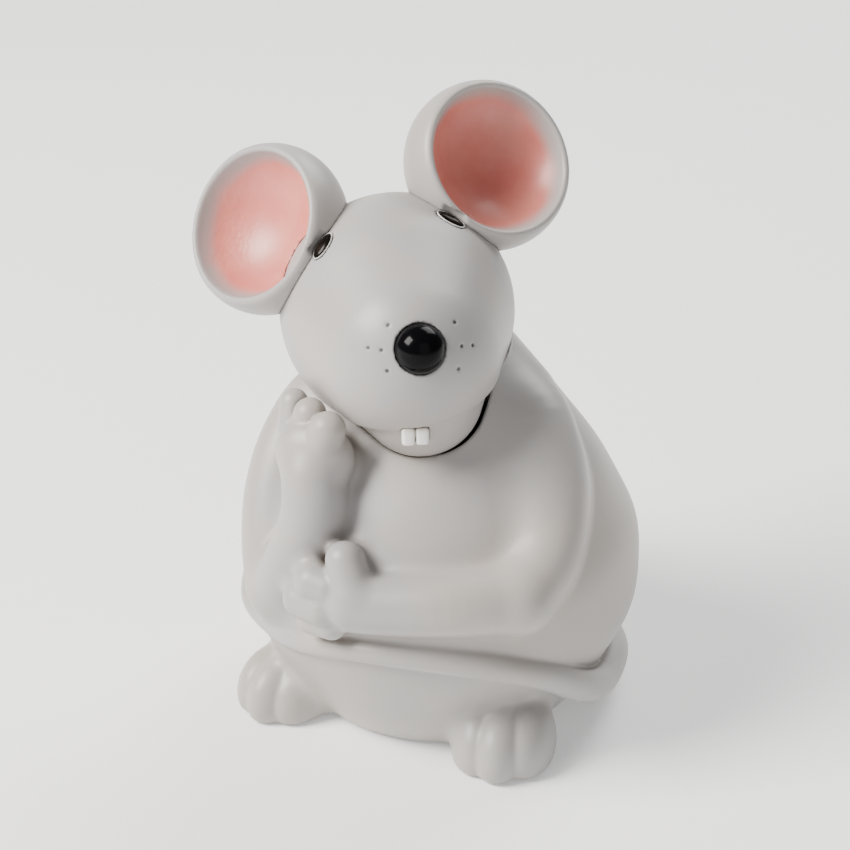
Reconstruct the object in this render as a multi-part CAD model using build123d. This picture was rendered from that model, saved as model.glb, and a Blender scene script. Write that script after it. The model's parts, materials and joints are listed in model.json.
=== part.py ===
"""Wind-up musical mouse: a hollow seated figure with a turning head, and a key-wound
comb-and-cylinder movement bolted to the plate that closes its base.

Millimetres. The mouse sits on z = 0 and looks towards -Y; its own left is +X.
The origin is on the floor, on the axis of the pear-shaped body.
Writes one STEP file per node into parts/.
"""
import os
from math import acos, cos, degrees, hypot, pi, radians, sin, sqrt, tan

from build123d import *

os.makedirs("parts", exist_ok=True)

# ---------------------------------------------------------------- overall sizes
BODY_WIDTH = 116.0          # widest part of the pear
BODY_HEIGHT = 112.0         # floor to where the pear would close under the head
HEAD_RADIUS = 32.5          # back of the skull
HEAD_TURN = 30.5            # the head is set turned to the mouse's left,
HEAD_NOD = -9.1             # chin a little up,
HEAD_ROLL = -12.5           # and leaning on the fist
WALL = 3.0                  # moulded wall thickness
HEAD_SWING = 3.0            # how far the head turns further left, degrees

# ---------------------------------------------------------------- named fits
GAP = 0.5                   # between the head and everything it sweeps past
SEAT = 0.05                 # round a piece that is glued or screwed into a hole
RUN = 0.05                  # radial clearance of every turning shaft
FACE = 0.3                  # end play beside a turning piece
FLOOR = 0.6                 # how far the moulding stays off the table

# ---------------------------------------------------------------- fasteners
M3, M3_HEAD, M3_HEAD_T = 1.5, 2.7, 1.1
M2, M2_HEAD, M2_HEAD_T = 1.0, 1.9, 0.9

# ---------------------------------------------------------------- base
BODY_Y = 1.4                # the pear's axis sits this far back
RIM = 2.7                   # wall left round the hole in the bottom of the body
PLATE_GAP = 0.4
PLATE_Z = 1.6               # underside of the base plate
PLATE_T = 2.8
PLATE_TOP = PLATE_Z + PLATE_T
BOSS_R = 3.4                # three screw bosses inside the body
BOSS_TOP = 14.0
BOSS_ANGLES = (90, 210, 330)

# ---------------------------------------------------------------- gears
MODULE = 0.6
TOOTH = 0.35                # tooth width as a share of the pitch
ADD, DED = 0.42, 0.78       # tooth height above and below the pitch circle
CROWN_TEETH = 36
PINION_TEETH = 12
WHEEL_TEETH = 32
STAFF_TEETH = 8
WORM_WHEEL_TEETH = 24
WORM_STARTS = 2
CROWN_R = CROWN_TEETH * MODULE / 2
PINION_R = PINION_TEETH * MODULE / 2
WHEEL_R = WHEEL_TEETH * MODULE / 2
STAFF_R = STAFF_TEETH * MODULE / 2
WORM_WHEEL_R = WORM_WHEEL_TEETH * MODULE / 2
WORM_R = 2.6

# ---------------------------------------------------------------- movement
BED_Y, BED_T = 20.0, 1.5    # front face and thickness of the upright bedplate
BED_X, BED_LOW, BED_HIGH = 27.4, 14.0, 64.0
KEY_X, KEY_Z = -13.0, 40.0  # winding axis, running along Y
ARBOR_R = 2.0
BARREL_FRONT = 11.0         # outer face of the spring barrel
BARREL_R = CROWN_R + 0.9
BARREL_WALL = 1.2
MESH_Y = BARREL_FRONT - DED + 0.06
CYL_Y, CYL_Z = MESH_Y - PINION_R, KEY_Z
CYL_R, CYL_X0, CYL_LENGTH = 6.4, 0.8, 17.6
PIN_R, PIN_UP = 0.22, 0.7
NOTES = 18
SHAFT_R = 1.2
WHEEL_X, WHEEL_T = 19.6, 1.4
STAFF_Z = CYL_Z - WHEEL_R - STAFF_R
WORM_X = 22.5               # mid-plane of the worm wheel
WORM_Z = STAFF_Z - WORM_WHEEL_R - WORM_R
FAN_R = 4.6


# ================================================================ helpers
def frame(x, y, z, turn=0.0, nod=0.0, roll=0.0):
    """A frame at a point, turned about Z, then X, then Y."""
    return Pos(x, y, z) * Rot(0, 0, turn) * Rot(nod, 0, 0) * Rot(0, roll, 0)


def rod(axis, a, b, r, u=0.0, v=0.0):
    """A round bar along X, Y or Z from a to b; u, v are its other two coordinates."""
    at = {"X": Pos(a, u, v) * Rot(0, 90, 0),
          "Y": Pos(u, a, v) * Rot(-90, 0, 0),
          "Z": Pos(u, v, a)}[axis]
    return at * Cylinder(r, b - a, align=(Align.CENTER, Align.CENTER, Align.MIN))


def block(x0, x1, y0, y1, z0, z1):
    """A rectangular block between two corners."""
    size = Box(x1 - x0, y1 - y0, z1 - z0)
    return Pos((x0 + x1) / 2, (y0 + y1) / 2, (z0 + z1) / 2) * size


def turned(points, place=Location(), spline=False):
    """A solid of revolution about Z from (radius, height) points."""
    if spline:
        edge = Spline(*points)
        rest = Polyline(points[-1], (0, points[-1][1]), (0, points[0][1]), points[0])
        outline = make_face([edge, rest])
    else:
        outline = make_face(Polyline(*points, points[0]))
    return place * revolve(Plane.XZ * outline, Axis.Z)


def round_cone(a, b, ra, rb):
    """Two balls of different size and the cone that wraps them, as one turned solid."""
    a, b = Vector(a), Vector(b)
    d = (b - a).length
    s = (ra - rb) / d
    c = sqrt(1 - s * s)
    p1, p2 = (ra * c, ra * s), (rb * c, d + rb * s)
    m1 = (ra * sin((acos(s) + pi) / 2), ra * cos((acos(s) + pi) / 2))
    m2 = (rb * sin(acos(s) / 2), d + rb * cos(acos(s) / 2))
    outline = make_face([ThreePointArc((0, -ra), m1, p1), Line(p1, p2),
                         ThreePointArc(p2, m2, (0, d + rb)), Line((0, d + rb), (0, -ra))])
    upright = revolve(Plane.XZ * outline, Axis.Z)
    return Plane(origin=a, z_dir=(b - a).normalized()).location * upright


def limb(stations):
    """A smooth limb through (x, y, z, radius) stations, with round ends."""
    points = [Vector(s[:3]) for s in stations]
    rings = []
    for i, station in enumerate(stations):
        before = points[max(i - 1, 0)]
        after = points[min(i + 1, len(points) - 1)]
        rings.append(Plane(origin=points[i], z_dir=(after - before).normalized()) * Circle(station[3]))
    tip = [Pos(*s[:3]) * Sphere(s[3] * 1.002) for s in (stations[0], stations[-1])]
    return [loft(rings), *tip]


def spur(teeth, width, bore):
    """A spur gear along Z from z = 0, with a tooth centred on +X."""
    r = teeth * MODULE / 2
    pitch = pi * MODULE
    half = TOOTH * pitch / 2
    root, tip = r - DED * MODULE, r + ADD * MODULE
    body = Cylinder(root, width, align=(Align.CENTER, Align.CENTER, Align.MIN))
    low, high = half + 0.16 * MODULE, half - 0.15 * MODULE
    tooth = make_face(Polyline((root - 0.2, -low), (tip, -high), (tip, high), (root - 0.2, low),
                               (root - 0.2, -low)))
    ring = [Rot(0, 0, 360 * i / teeth) * extrude(tooth, width) for i in range(teeth)]
    gear = body.fuse(*[t.solid() for t in ring])
    return gear - Cylinder(bore, 3 * width) if bore else gear


def save(name, *shapes):
    """Write one node; several shapes make a node of separate solids."""
    solids = [s for shape in shapes for s in shape.solids()]
    out = solids[0] if len(solids) == 1 else Compound(children=solids)
    out.label = name
    export_step(out, f"parts/{name}.step")
    ok = all(s.is_valid for s in solids)
    print(f"{name:18s} {len(solids):2d} solid(s)  {sum(s.volume for s in solids):10.1f} mm3  {'ok' if ok else 'BAD'}")


# ================================================================ outline of the body
# (radius, height) up the pear's side, as shares of half its width and of its height
SIDE = [(0.643, 0.0), (0.759, 0.071), (0.881, 0.179), (0.974, 0.286), (1.0, 0.393),
        (0.979, 0.5), (0.902, 0.589), (0.809, 0.679), (0.7, 0.759), (0.597, 0.83),
        (0.498, 0.902), (0.405, 0.964), (0.324, 1.018)]
HALF = BODY_WIDTH / 2
WIDE, TALL = BODY_WIDTH / 116.0, BODY_HEIGHT / 112.0    # against the size it was drawn at
OPENING_R = SIDE[0][0] * HALF - RIM
PLATE_R = OPENING_R - PLATE_GAP
BOSS_OUT = PLATE_R - BOSS_R - 0.8
FELT_PAD_R = BOSS_OUT - M3_HEAD - 2.5

# ================================================================ head shape
# the skull's lowest point stays at one height above the body's seat for it
HEAD_AT = (-10.6 * WIDE, -6.0 * WIDE, BODY_HEIGHT - 23.5 + HEAD_RADIUS)
HEAD = frame(*HEAD_AT, HEAD_TURN, HEAD_NOD, HEAD_ROLL)


def on_head(x, y, z):
    """A point given in the head's own frame: x to its left, -y to its nose, z up."""
    return (HEAD * Pos(x, y, z)).position


k = HEAD_RADIUS / 32.5
SNOUT = on_head(0, -20 * k, -7 * k)
MUZZLE = on_head(0, -26 * k, -2 * k)
CHIN = on_head(0, -22 * k, -19 * k)
NOSE = (2.1, -44.2, -0.8)
NOSE_R = 6.9
MOUTH_Z, MOUTH_SLOPE = -15.4, 12.6
TEETH_ROOT, TEETH_LEAN = -23.3, 12.0
TEETH_X, TEETH_FRONT, TEETH_T, TEETH_W, TEETH_DROP = -4.0, -39.6, 3.0, 7.4, 4.8
TEETH_AT = HEAD * Pos(TEETH_X, TEETH_FRONT, TEETH_ROOT) * Rot(0, TEETH_LEAN, 0)


def head_form(grow=0.0):
    """The three round cones of the head, all grown by the same amount."""
    centre = Vector(HEAD_AT)
    return [round_cone(centre, SNOUT, HEAD_RADIUS + grow, 25.5 * k + grow),
            round_cone(centre, MUZZLE, 30 * k + grow, 19 * k + grow),
            round_cone(on_head(0, -3 * k, -5 * k), CHIN, 28 * k + grow, 17.4 * k + grow)]


def whole_head_form():
    """The head as one solid: the upper head ends at the mouth, with the jaw tucked under it."""
    skull, muzzle, jaw = head_form()
    below_mouth = HEAD * Pos(0, 0, MOUTH_Z * k) * Rot(MOUTH_SLOPE, 0, 0) * block(-80, 80, -90, 80, -80, 0)
    return (skull.fuse(muzzle.solid()) - below_mouth).solid().fuse(jaw.solid())


def neck_turn(degrees_left):
    """Turning the head about its upright neck axis."""
    x, y, _ = HEAD_AT
    return Pos(x, y, 0) * Rot(0, 0, degrees_left) * Pos(-x, -y, 0)


# ================================================================ body shell
profile = [(r * HALF, h * BODY_HEIGHT) for r, h in SIDE]
pear = turned(profile, Pos(0, BODY_Y, 0), spline=True)
hollow = turned([(r - WALL, h) for r, h in profile if h > 5], Pos(0, BODY_Y, 0), spline=True)
hollow += rod("Z", PLATE_TOP, 12, OPENING_R, 0, BODY_Y)

TAIL = [(4, 44, 8.5, 6.2), (17, 51, 8, 5.9), (33, 42, 8, 5.5), (45.5, 25, 9.5, 5.2),
        (51, 2, 12.5, 5.0), (52, -16, 20, 4.8), (46.8, -29.3, 29, 4.5), (37.5, -41.9, 36.2, 4.1),
        (26.3, -49.7, 39.6, 3.8), (13.4, -54.6, 40.8, 3.5), (-1, -56.2, 40.2, 3.3),
        (-17.8, -52.6, 36.2, 3.1), (-31.2, -44.4, 33.5, 3.0), (-46, -32, 33.5, 2.8),
        (-54, -14, 37, 2.6), (-57, 4, 42, 2.4)]
LEFT_ARM = [(24, 1, 96, 9), (33, -6, 93, 9.8), (40.5, -14, 78.5, 10.3), (43.5, -25, 65, 10.3),
            (41.5, -38, 56.8, 9.5)]
LEFT_FOREARM = [(41, -39, 57, 9.5), (26, -50, 57, 8.6), (8, -56.5, 56, 8), (1, -58, 56, 8)]
RIGHT_ARM = [(-27, -5, 96, 9), (-32.5, -13, 90.5, 10.3), (-36, -22.5, 80, 10.4),
             (-36.5, -30.5, 68, 10.2), (-34.5, -37.5, 56.5, 9.5), (-32, -41.5, 46, 8.8)]
RIGHT_FOREARM = [(-30, -43, 46, 8.9), (-21.5, -49, 60, 9), (-16, -49.5, 75, 8.8), (-17, -46.5, 86, 8.8)]
LEFT_FINGERS = [((1, -58.5, 58), (-2.5, -56.5, 67.5), 6.8, 5.4),
                ((-6, -60, 60), (-10.5, -59.5, 60.5), 5.2, 5.6),
                ((-7, -61, 54), (-15, -59, 54), 5.2, 5.0),
                ((-5, -60, 48.8), (-12, -58.5, 48.2), 4.3, 4.2)]
RIGHT_FINGERS = [((-27, -39, 95), (-28, -36, 101.5), 4.2, 4.0),
                 ((-21.5, -42, 95), (-20.5, -41, 101.5), 4.8, 4.6),
                 ((-15.5, -46, 92.5), (-13, -45, 100), 5.4, 5.0)]
PALMS = [((-3, -58, 53), (-3, -58, 59), 7.4, 7), ((-18.5, -43.5, 88), (-18, -43.5, 94), 9, 8.4)]
TOES = [((-7.2, -26, 7), (-8.4, -38, 6.6), 9, 7.6), ((0, -26, 8), (0, -40, 7), 10, 7.9),
        ((7.2, -26, 7), (8.4, -37, 6.6), 9, 7.6)]


def placed(point):
    """A point of the drawing, moved with the body's width and height."""
    return (point[0] * WIDE, point[1] * WIDE, point[2] * TALL)


added = []
for stations in (TAIL, LEFT_ARM, LEFT_FOREARM, RIGHT_ARM, RIGHT_FOREARM):
    added += limb([placed(p) + (p[3],) for p in stations])
for a, b, ra, rb in LEFT_FINGERS + RIGHT_FINGERS + PALMS:
    added.append(round_cone(placed(a), placed(b), ra, rb))
for side, turn in ((1, 12), (-1, -12)):
    for a, b, ra, rb in TOES:
        start, end = ((Pos(side * 28, 0, 0) * Rot(0, 0, turn) * Pos(*p)).position for p in (a, b))
        added.append(round_cone(placed(start.to_tuple()), placed(end.to_tuple()), ra, rb))

skin = pear.fuse(*[piece.solid() for piece in added])
skin -= block(-2 * HALF, 2 * HALF, -2 * HALF, 2 * HALF, -30, FLOOR)

# the cup that the head turns in, and the neck seat at its bottom
NECK_X, NECK_Y, HEAD_Z = HEAD_AT
CUP_R = HEAD_RADIUS + GAP + 0.2
SEAT_Z = HEAD_Z - CUP_R - 0.6           # top of the felt washer's seat
FELT_T, FELT_R = 1.2, 13.0
NECK_R = 8.0
BOSS_LOW = SEAT_Z - 5.0
cup = [Pos(*HEAD_AT) * Sphere(CUP_R)]
for step in range(4):
    angle = HEAD_SWING * step / 3
    cup += [neck_turn(angle) * form for form in head_form(GAP)]
teeth_room = TEETH_AT * block(-TEETH_W / 2 - 1, TEETH_W / 2 + 1, -1, 5, -TEETH_DROP - 1, 1)
cup += [neck_turn(HEAD_SWING * step / 4) * teeth_room for step in range(5)]

dome = Pos(*HEAD_AT) * Sphere(CUP_R + WALL)
collar = rod("Z", BOSS_LOW, SEAT_Z + 6, FELT_R + 3.5, NECK_X, NECK_Y)
hollow = hollow - dome - collar
body = skin - hollow
for shape in cup:
    body -= shape
body -= rod("Z", SEAT_Z, SEAT_Z + 9, FELT_R + 0.6, NECK_X, NECK_Y)
body -= rod("Z", BOSS_LOW - 1, SEAT_Z + 1, NECK_R + RUN, NECK_X, NECK_Y)

# bottom opening, screw bosses with their ribs, and the key hole in the back
body -= rod("Z", -1, PLATE_TOP, OPENING_R, 0, BODY_Y)
bosses = []
for angle in BOSS_ANGLES:
    x, y = BOSS_OUT * cos(radians(angle)), BODY_Y + BOSS_OUT * sin(radians(angle))
    place = Pos(x, y, PLATE_TOP) * Rot(0, 0, angle)
    post = place * Cylinder(BOSS_R, BOSS_TOP - PLATE_TOP, align=(Align.CENTER, Align.CENTER, Align.MIN))
    rib_x = HALF - BOSS_OUT
    rib = place * Pos(rib_x / 2 + 1, 0, (BOSS_TOP - PLATE_TOP) / 2) * Box(rib_x, 2.4, BOSS_TOP - PLATE_TOP)
    bosses += [(post + (rib & pear)).solid()]
body = body.fuse(*bosses)
for angle in BOSS_ANGLES:
    x, y = BOSS_OUT * cos(radians(angle)), BODY_Y + BOSS_OUT * sin(radians(angle))
    body -= rod("Z", PLATE_TOP - 1, BOSS_TOP - 1, M3 + SEAT, x, y)
KEY_BOSS_R = 3.4
body -= rod("Y", HALF / 2, HALF + 15, KEY_BOSS_R + 1.0, KEY_X, KEY_Z)
save("body_shell", max(body.solids(), key=lambda p: p.volume))

# ================================================================ head shell
whole_head = whole_head_form()
head = whole_head
neck_top = SEAT_Z + FELT_T + RUN
head -= Pos(*HEAD_AT) * Sphere(HEAD_RADIUS - WALL)
head -= round_cone(Vector(HEAD_AT), MUZZLE, 24 * k, 15.5 * k)
spigot = rod("Z", neck_top, HEAD_Z - HEAD_RADIUS + 9, FELT_R - 0.4, NECK_X, NECK_Y)
spigot += rod("Z", BOSS_LOW - FACE, neck_top + 1, NECK_R, NECK_X, NECK_Y)
head = head + spigot
head -= rod("Z", BOSS_LOW - 2, BOSS_LOW + 9, M3 + SEAT, NECK_X, NECK_Y)

EYE_R, EYE_DEEP = 3.3, 4.0
EYE_GAP = 0.3                               # between an eye and the ear behind it
EYES = {"eye_left": (20 * k, -11 * k, 23.8 * k), "eye_right": (-16 * k, -13 * k, 25.9 * k)}


def eye_place(at):
    """A frame on the head's surface at an eye, with Z pointing out of the skull."""
    here = on_head(*at)
    out = (here - on_head(0, -6, 0)).normalized()
    return Plane(origin=here - out * 1.0, z_dir=out).location


for at in EYES.values():
    head -= eye_place(at) * Pos(0, 0, 6 - EYE_DEEP) * Cylinder(EYE_R + SEAT, 12)
NOSE_BACK = NOSE[1] + 2.6
nose_place = HEAD * Pos(*NOSE)
head -= HEAD * Pos(NOSE[0], NOSE_BACK - 6, NOSE[2]) * Rot(90, 0, 0) * Cylinder(NOSE_R + SEAT, 12)
head -= HEAD * Pos(NOSE[0], NOSE_BACK + 1, NOSE[2]) * Rot(90, 0, 0) * Cylinder(2.5 + SEAT, 6)
slot_x = TEETH_W / 2 + SEAT
head -= TEETH_AT * block(-slot_x, slot_x, -20, TEETH_T + SEAT, -TEETH_DROP - 8, 0)
save("head_shell", max(head.solids(), key=lambda p: p.volume))

EAR_R = 24.3
# each ear's middle on the head (to its left, back, up), then how far it turns out and tips back
EARS = {"ear_left": (34.4, 8.0, 32.0, 29.5, -18.5), "ear_right": (-29.3, 8.0, 29.7, -41.1, -29.6)}
# the ear is a thick egg with a dish in its face: (radius, height) in shares of the ear's radius
BOWL = [(0, -0.806), (0.2, -0.79), (0.4, -0.739), (0.58, -0.657), (0.71, -0.568), (0.82, -0.461),
        (0.91, -0.334), (0.97, -0.196), (1, -0.02), (0.985, 0.14), (0.95, 0.25), (0.925, 0.31),
        (0.9, 0.335), (0.875, 0.32), (0.83, 0.22), (0.72, 0.06), (0.58, -0.07), (0.4, -0.165),
        (0.2, -0.215), (0, -0.23)]
for name, (left, back, up, out, tip) in EARS.items():
    place = HEAD * Pos(left * k, back * k, up * k) * Rot(0, 0, out) * Rot(tip, 0, 0) * Rot(90, 0, 0)
    bowl = turned([(r * EAR_R * k, h * EAR_R * k) for r, h in BOWL])
    ear = place * bowl - whole_head
    for at in EYES.values():
        ear -= eye_place(at) * Cylinder(EYE_R + EYE_GAP, 20)
    save(name, max(ear.solids(), key=lambda p: p.volume))

EYE_TOP = 1.7                               # how far the eye's dome rises above its rim
for name, at in EYES.items():
    edge = EYE_DEEP + 0.4
    dome_r = (EYE_R ** 2 + EYE_TOP ** 2) / (2 * EYE_TOP)
    lean = acos(1 - EYE_TOP / dome_r) / 2
    middle = (dome_r * sin(lean), edge + EYE_TOP - dome_r * (1 - cos(lean)))
    outline = make_face([Line((0, 0), (EYE_R, 0)), Line((EYE_R, 0), (EYE_R, edge)),
                         ThreePointArc((EYE_R, edge), middle, (0, edge + EYE_TOP)),
                         Line((0, edge + EYE_TOP), (0, 0))])
    save(name, eye_place(at) * Pos(0, 0, -EYE_DEEP) * revolve(Plane.XZ * outline, Axis.Z))
ball = Pos(*NOSE) * Sphere(NOSE_R) - block(-20, 20, NOSE_BACK, 0, -20, 20)
stem = rod("Y", NOSE_BACK - 1, NOSE_BACK + 3.5, 2.5, NOSE[0], NOSE[2])
save("nose", HEAD * (ball + stem))
pair = block(-TEETH_W / 2, TEETH_W / 2, 0, TEETH_T, -TEETH_DROP, 0)
pair -= block(-0.2, 0.2, -1, 0.6, -TEETH_DROP - 1, -1)
save("teeth", TEETH_AT * pair)

# neck washers and screw
save("neck_felt", rod("Z", SEAT_Z, SEAT_Z + FELT_T, FELT_R, NECK_X, NECK_Y)
     - rod("Z", 0, 150, NECK_R + 0.6, NECK_X, NECK_Y))
WASHER_Z = BOSS_LOW - FACE
save("neck_washer", rod("Z", WASHER_Z - 1.6, WASHER_Z, NECK_R + 4, NECK_X, NECK_Y)
     - rod("Z", 0, 150, M3 + SEAT, NECK_X, NECK_Y))
save("neck_screw", rod("Z", WASHER_Z - 1.6, BOSS_LOW + 8, M3, NECK_X, NECK_Y)
     + rod("Z", WASHER_Z - 1.6 - M3_HEAD_T - 0.8, WASHER_Z - 1.6, M3_HEAD + 0.8, NECK_X, NECK_Y))

# ================================================================ base
plate = rod("Z", PLATE_Z, PLATE_TOP, PLATE_R, 0, BODY_Y)
screws = []
for angle in BOSS_ANGLES:
    x, y = BOSS_OUT * cos(radians(angle)), BODY_Y + BOSS_OUT * sin(radians(angle))
    plate -= rod("Z", 0, 9, M3 + SEAT, x, y)
    screws.append(rod("Z", PLATE_Z - M3_HEAD_T, PLATE_Z, M3_HEAD, x, y)
                  + rod("Z", PLATE_Z, BOSS_TOP - 2, M3, x, y))
BRACKET_T = 1.5
FOOT_Y0 = BED_Y + BED_T - 11
FOOT_SCREWS = [(-15, FOOT_Y0 + 4), (15, FOOT_Y0 + 4)]
for x, y in FOOT_SCREWS:
    plate -= rod("Z", PLATE_TOP - 2.0, 9, M2 + SEAT, x, y)
save("base_plate", plate)
save("base_screws", *screws)
save("base_felt", rod("Z", 0, PLATE_Z, FELT_PAD_R, 0, BODY_Y))

BACK_Y = BED_Y + BED_T
bracket = block(-20, 20, FOOT_Y0, BACK_Y + BRACKET_T, PLATE_TOP, PLATE_TOP + BRACKET_T)
bracket += block(-20, 20, BACK_Y, BACK_Y + BRACKET_T, PLATE_TOP, 29)
BED_SCREWS = [(-17, 24), (13, 24)]
for x, y in FOOT_SCREWS:
    bracket -= rod("Z", 0, 20, M2 + SEAT, x, y)
for x, z in BED_SCREWS:
    bracket -= rod("Y", BACK_Y - 5, BACK_Y + 9, M2 + SEAT, x, z)
save("movement_bracket", bracket)
save("bracket_screws", *[rod("Z", PLATE_TOP - 1.8, PLATE_TOP + BRACKET_T, M2, x, y)
                         + rod("Z", PLATE_TOP + BRACKET_T, PLATE_TOP + BRACKET_T + M2_HEAD_T, M2_HEAD, x, y)
                         for x, y in FOOT_SCREWS])

# ================================================================ bedplate
COMB_TIP = CYL_Z + CYL_R + PIN_UP + 0.35    # comb tips stand just off the pins
COMB_LENGTH, COMB_T = 11.0, 0.9
COMB_BASE = COMB_TIP + COMB_LENGTH
COMB_Y = CYL_Y - COMB_T / 2
COMB_SCREWS = [(4.6, COMB_BASE + 2.8), (14.6, COMB_BASE + 2.8)]
bed = block(-BED_X, BED_X, BED_Y, BACK_Y, BED_LOW, max(BED_HIGH, COMB_BASE + 6))
bed -= rod("Y", 0, 40, ARBOR_R + RUN, KEY_X, KEY_Z)
for x, z in BED_SCREWS:
    bed -= rod("Y", BED_Y - 1, BACK_Y + 1, M2 + SEAT, x, z)
for x, z in COMB_SCREWS:
    bed -= rod("Y", BED_Y - 1, BACK_Y + 1, M2 + SEAT, x, z)
BRIDGE_X0, BRIDGE_X1 = -9.6, -6.2
BRIDGE_LEG = BARREL_R + 1.2
BRIDGE_FEET = [KEY_Z - BRIDGE_LEG - 3.6, KEY_Z + BRIDGE_LEG + 3.6]
POST_X0, POST_X1 = 22.6, 24.8
POST_FOOT_Z = CYL_Z + 6.2
STUDS = [((BRIDGE_X0 + BRIDGE_X1) / 2, z) for z in BRIDGE_FEET] + [((POST_X0 + POST_X1) / 2, POST_FOOT_Z)]
for x, z in STUDS:
    bed -= rod("Y", BED_Y - 1, BACK_Y + 1, M2 + SEAT, x, z)
CHEEKS = ((17.4, 18.9), (25.7, 27.2))
WEB_Y = BED_Y - 1.5
GOV_SCREWS = [(21.0, STAFF_Z - 3.0), (21.0, STAFF_Z + 3.0)]
for x, z in GOV_SCREWS:
    bed -= rod("Y", BED_Y - 1, BACK_Y + 1, M2 + SEAT, x, z)
CLICK_AT = (KEY_X + 13.0, KEY_Z + 13.0)
bed -= rod("Y", BED_Y - 1, BACK_Y + 1, M2 + SEAT, *CLICK_AT)
save("bedplate", bed)
save("bedplate_screws", *[rod("Y", BED_Y + 0.2, BACK_Y + BRACKET_T, M2, x, z)
                          + rod("Y", BACK_Y + BRACKET_T, BACK_Y + BRACKET_T + M2_HEAD_T, M2_HEAD, x, z)
                          for x, z in BED_SCREWS])

# ================================================================ winding side
KEY_OUT = BODY_Y + HALF * 0.985             # where the key stands clear of the back
RATCHET_Y = BACK_Y + FACE
RATCHET_T, RATCHET_R, RATCHET_TEETH = 1.6, 7.0, 20
ARBOR_FRONT = BARREL_FRONT + BARREL_WALL - 1.4
arbor = rod("Y", ARBOR_FRONT, KEY_OUT - 1, ARBOR_R, KEY_X, KEY_Z)
arbor += rod("Y", BARREL_FRONT + BARREL_WALL + 0.3, BED_Y - 2.0, 2.7, KEY_X, KEY_Z)
save("winding_arbor", arbor)
saw = []
for i in range(RATCHET_TEETH):
    a0, a1 = (radians(360 * (i + f) / RATCHET_TEETH) for f in (0, 0.82))
    saw += [(RATCHET_R * cos(a0), RATCHET_R * sin(a0)), ((RATCHET_R - 0.9) * cos(a1), (RATCHET_R - 0.9) * sin(a1))]
ratchet = extrude(make_face(Polyline(*saw, saw[0])), RATCHET_T) - Cylinder(ARBOR_R + SEAT, 9)
hub = rod("Z", 0, RATCHET_T + 2.2, 3.6, 0, 0) - Cylinder(ARBOR_R + SEAT, 20)
ratchet = Pos(KEY_X, RATCHET_Y, KEY_Z) * Rot(-90, 0, 0) * (ratchet + hub)
ratchet -= rod("Z", KEY_Z, KEY_Z + 9, 0.6 + SEAT, KEY_X, RATCHET_Y + RATCHET_T + 1.1)
save("ratchet_wheel", ratchet)
save("ratchet_pin", rod("Z", KEY_Z + ARBOR_R, KEY_Z + 3.9, 0.6, KEY_X, RATCHET_Y + RATCHET_T + 1.1))
CX, CZ = CLICK_AT
reach = hypot(13.0, 13.0) - RATCHET_R - 0.35
click = block(-reach, 0, 0, 0.5, -1.2, 1.2) + rod("Y", 0, 0.5, 2.4, 0, 0) - rod("Y", -1, 2, M2 + SEAT, 0, 0)
click += block(-reach, -reach + 0.6, 0, 1.6, -1.2, 1.2)
save("click_spring", Pos(CX, BACK_Y, CZ) * Rot(0, -45, 0) * click)
save("click_screw", rod("Y", BED_Y + 0.2, BACK_Y + 0.5, M2, *CLICK_AT)
     + rod("Y", BACK_Y + 0.5, BACK_Y + 0.5 + M2_HEAD_T, M2_HEAD, *CLICK_AT))

KEY_T, KEY_SPAN = 2.4, 14.5
key = rod("Y", KEY_OUT - 9, KEY_OUT + 5, KEY_BOSS_R, KEY_X, KEY_Z)
for side in (1, -1):
    wing = Pos(KEY_X + side * 8.2, KEY_OUT + 9.0, KEY_Z) * Cylinder(6.4, KEY_T)
    wing -= Pos(KEY_X + side * 8.6, KEY_OUT + 9.0, KEY_Z) * Cylinder(2.4, 9)
    key += wing
key += block(KEY_X - 5.5, KEY_X + 5.5, KEY_OUT + 3.0, KEY_OUT + 9.0, KEY_Z - KEY_T / 2, KEY_Z + KEY_T / 2)
key -= rod("Y", KEY_OUT - 10, KEY_OUT - 1, ARBOR_R + SEAT, KEY_X, KEY_Z)
save("winding_key", key)

# ================================================================ spring barrel
LID_T = 0.8
BARREL_BACK = BED_Y - 0.8
cup_solid = rod("Y", BARREL_FRONT, BARREL_BACK, BARREL_R, KEY_X, KEY_Z)
cup_solid -= rod("Y", BARREL_FRONT + BARREL_WALL, BARREL_BACK + 1, BARREL_R - BARREL_WALL, KEY_X, KEY_Z)
cup_solid -= rod("Y", 0, 30, ARBOR_R + RUN, KEY_X, KEY_Z)
half = TOOTH * pi * MODULE / 2
TIP_Y = MESH_Y - ADD * MODULE
tooth = make_face(Polyline((-half - 0.09, BARREL_FRONT + 0.3), (-half + 0.1, TIP_Y), (half - 0.1, TIP_Y),
                           (half + 0.09, BARREL_FRONT + 0.3), (-half - 0.09, BARREL_FRONT + 0.3)))
crown = []
for i in range(CROWN_TEETH):
    rib = extrude(tooth, 1.7)               # drawn across X, raised along Y, long along Z
    rib = Pos(0, 0, CROWN_R - 0.85) * rib
    crown.append((Pos(KEY_X, 0, KEY_Z) * Rot(0, 90 + 360 * (i + 0.5) / CROWN_TEETH, 0) * rib).solid())
save("spring_barrel", cup_solid.fuse(*crown))
lid = rod("Y", BARREL_BACK - LID_T, BARREL_BACK, BARREL_R - BARREL_WALL - SEAT, KEY_X, KEY_Z)
lid += rod("Y", BARREL_BACK, BARREL_BACK + 0.4, BARREL_R - 0.4, KEY_X, KEY_Z)
lid -= rod("Y", 0, 30, ARBOR_R + RUN, KEY_X, KEY_Z)
save("barrel_lid", lid)
SPRING_IN, SPRING_OUT, SPRING_T, TURNS = 3.3, BARREL_R - BARREL_WALL, 0.32, 7.25
inner, outer = [], []
count = int(TURNS * 12)
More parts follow.
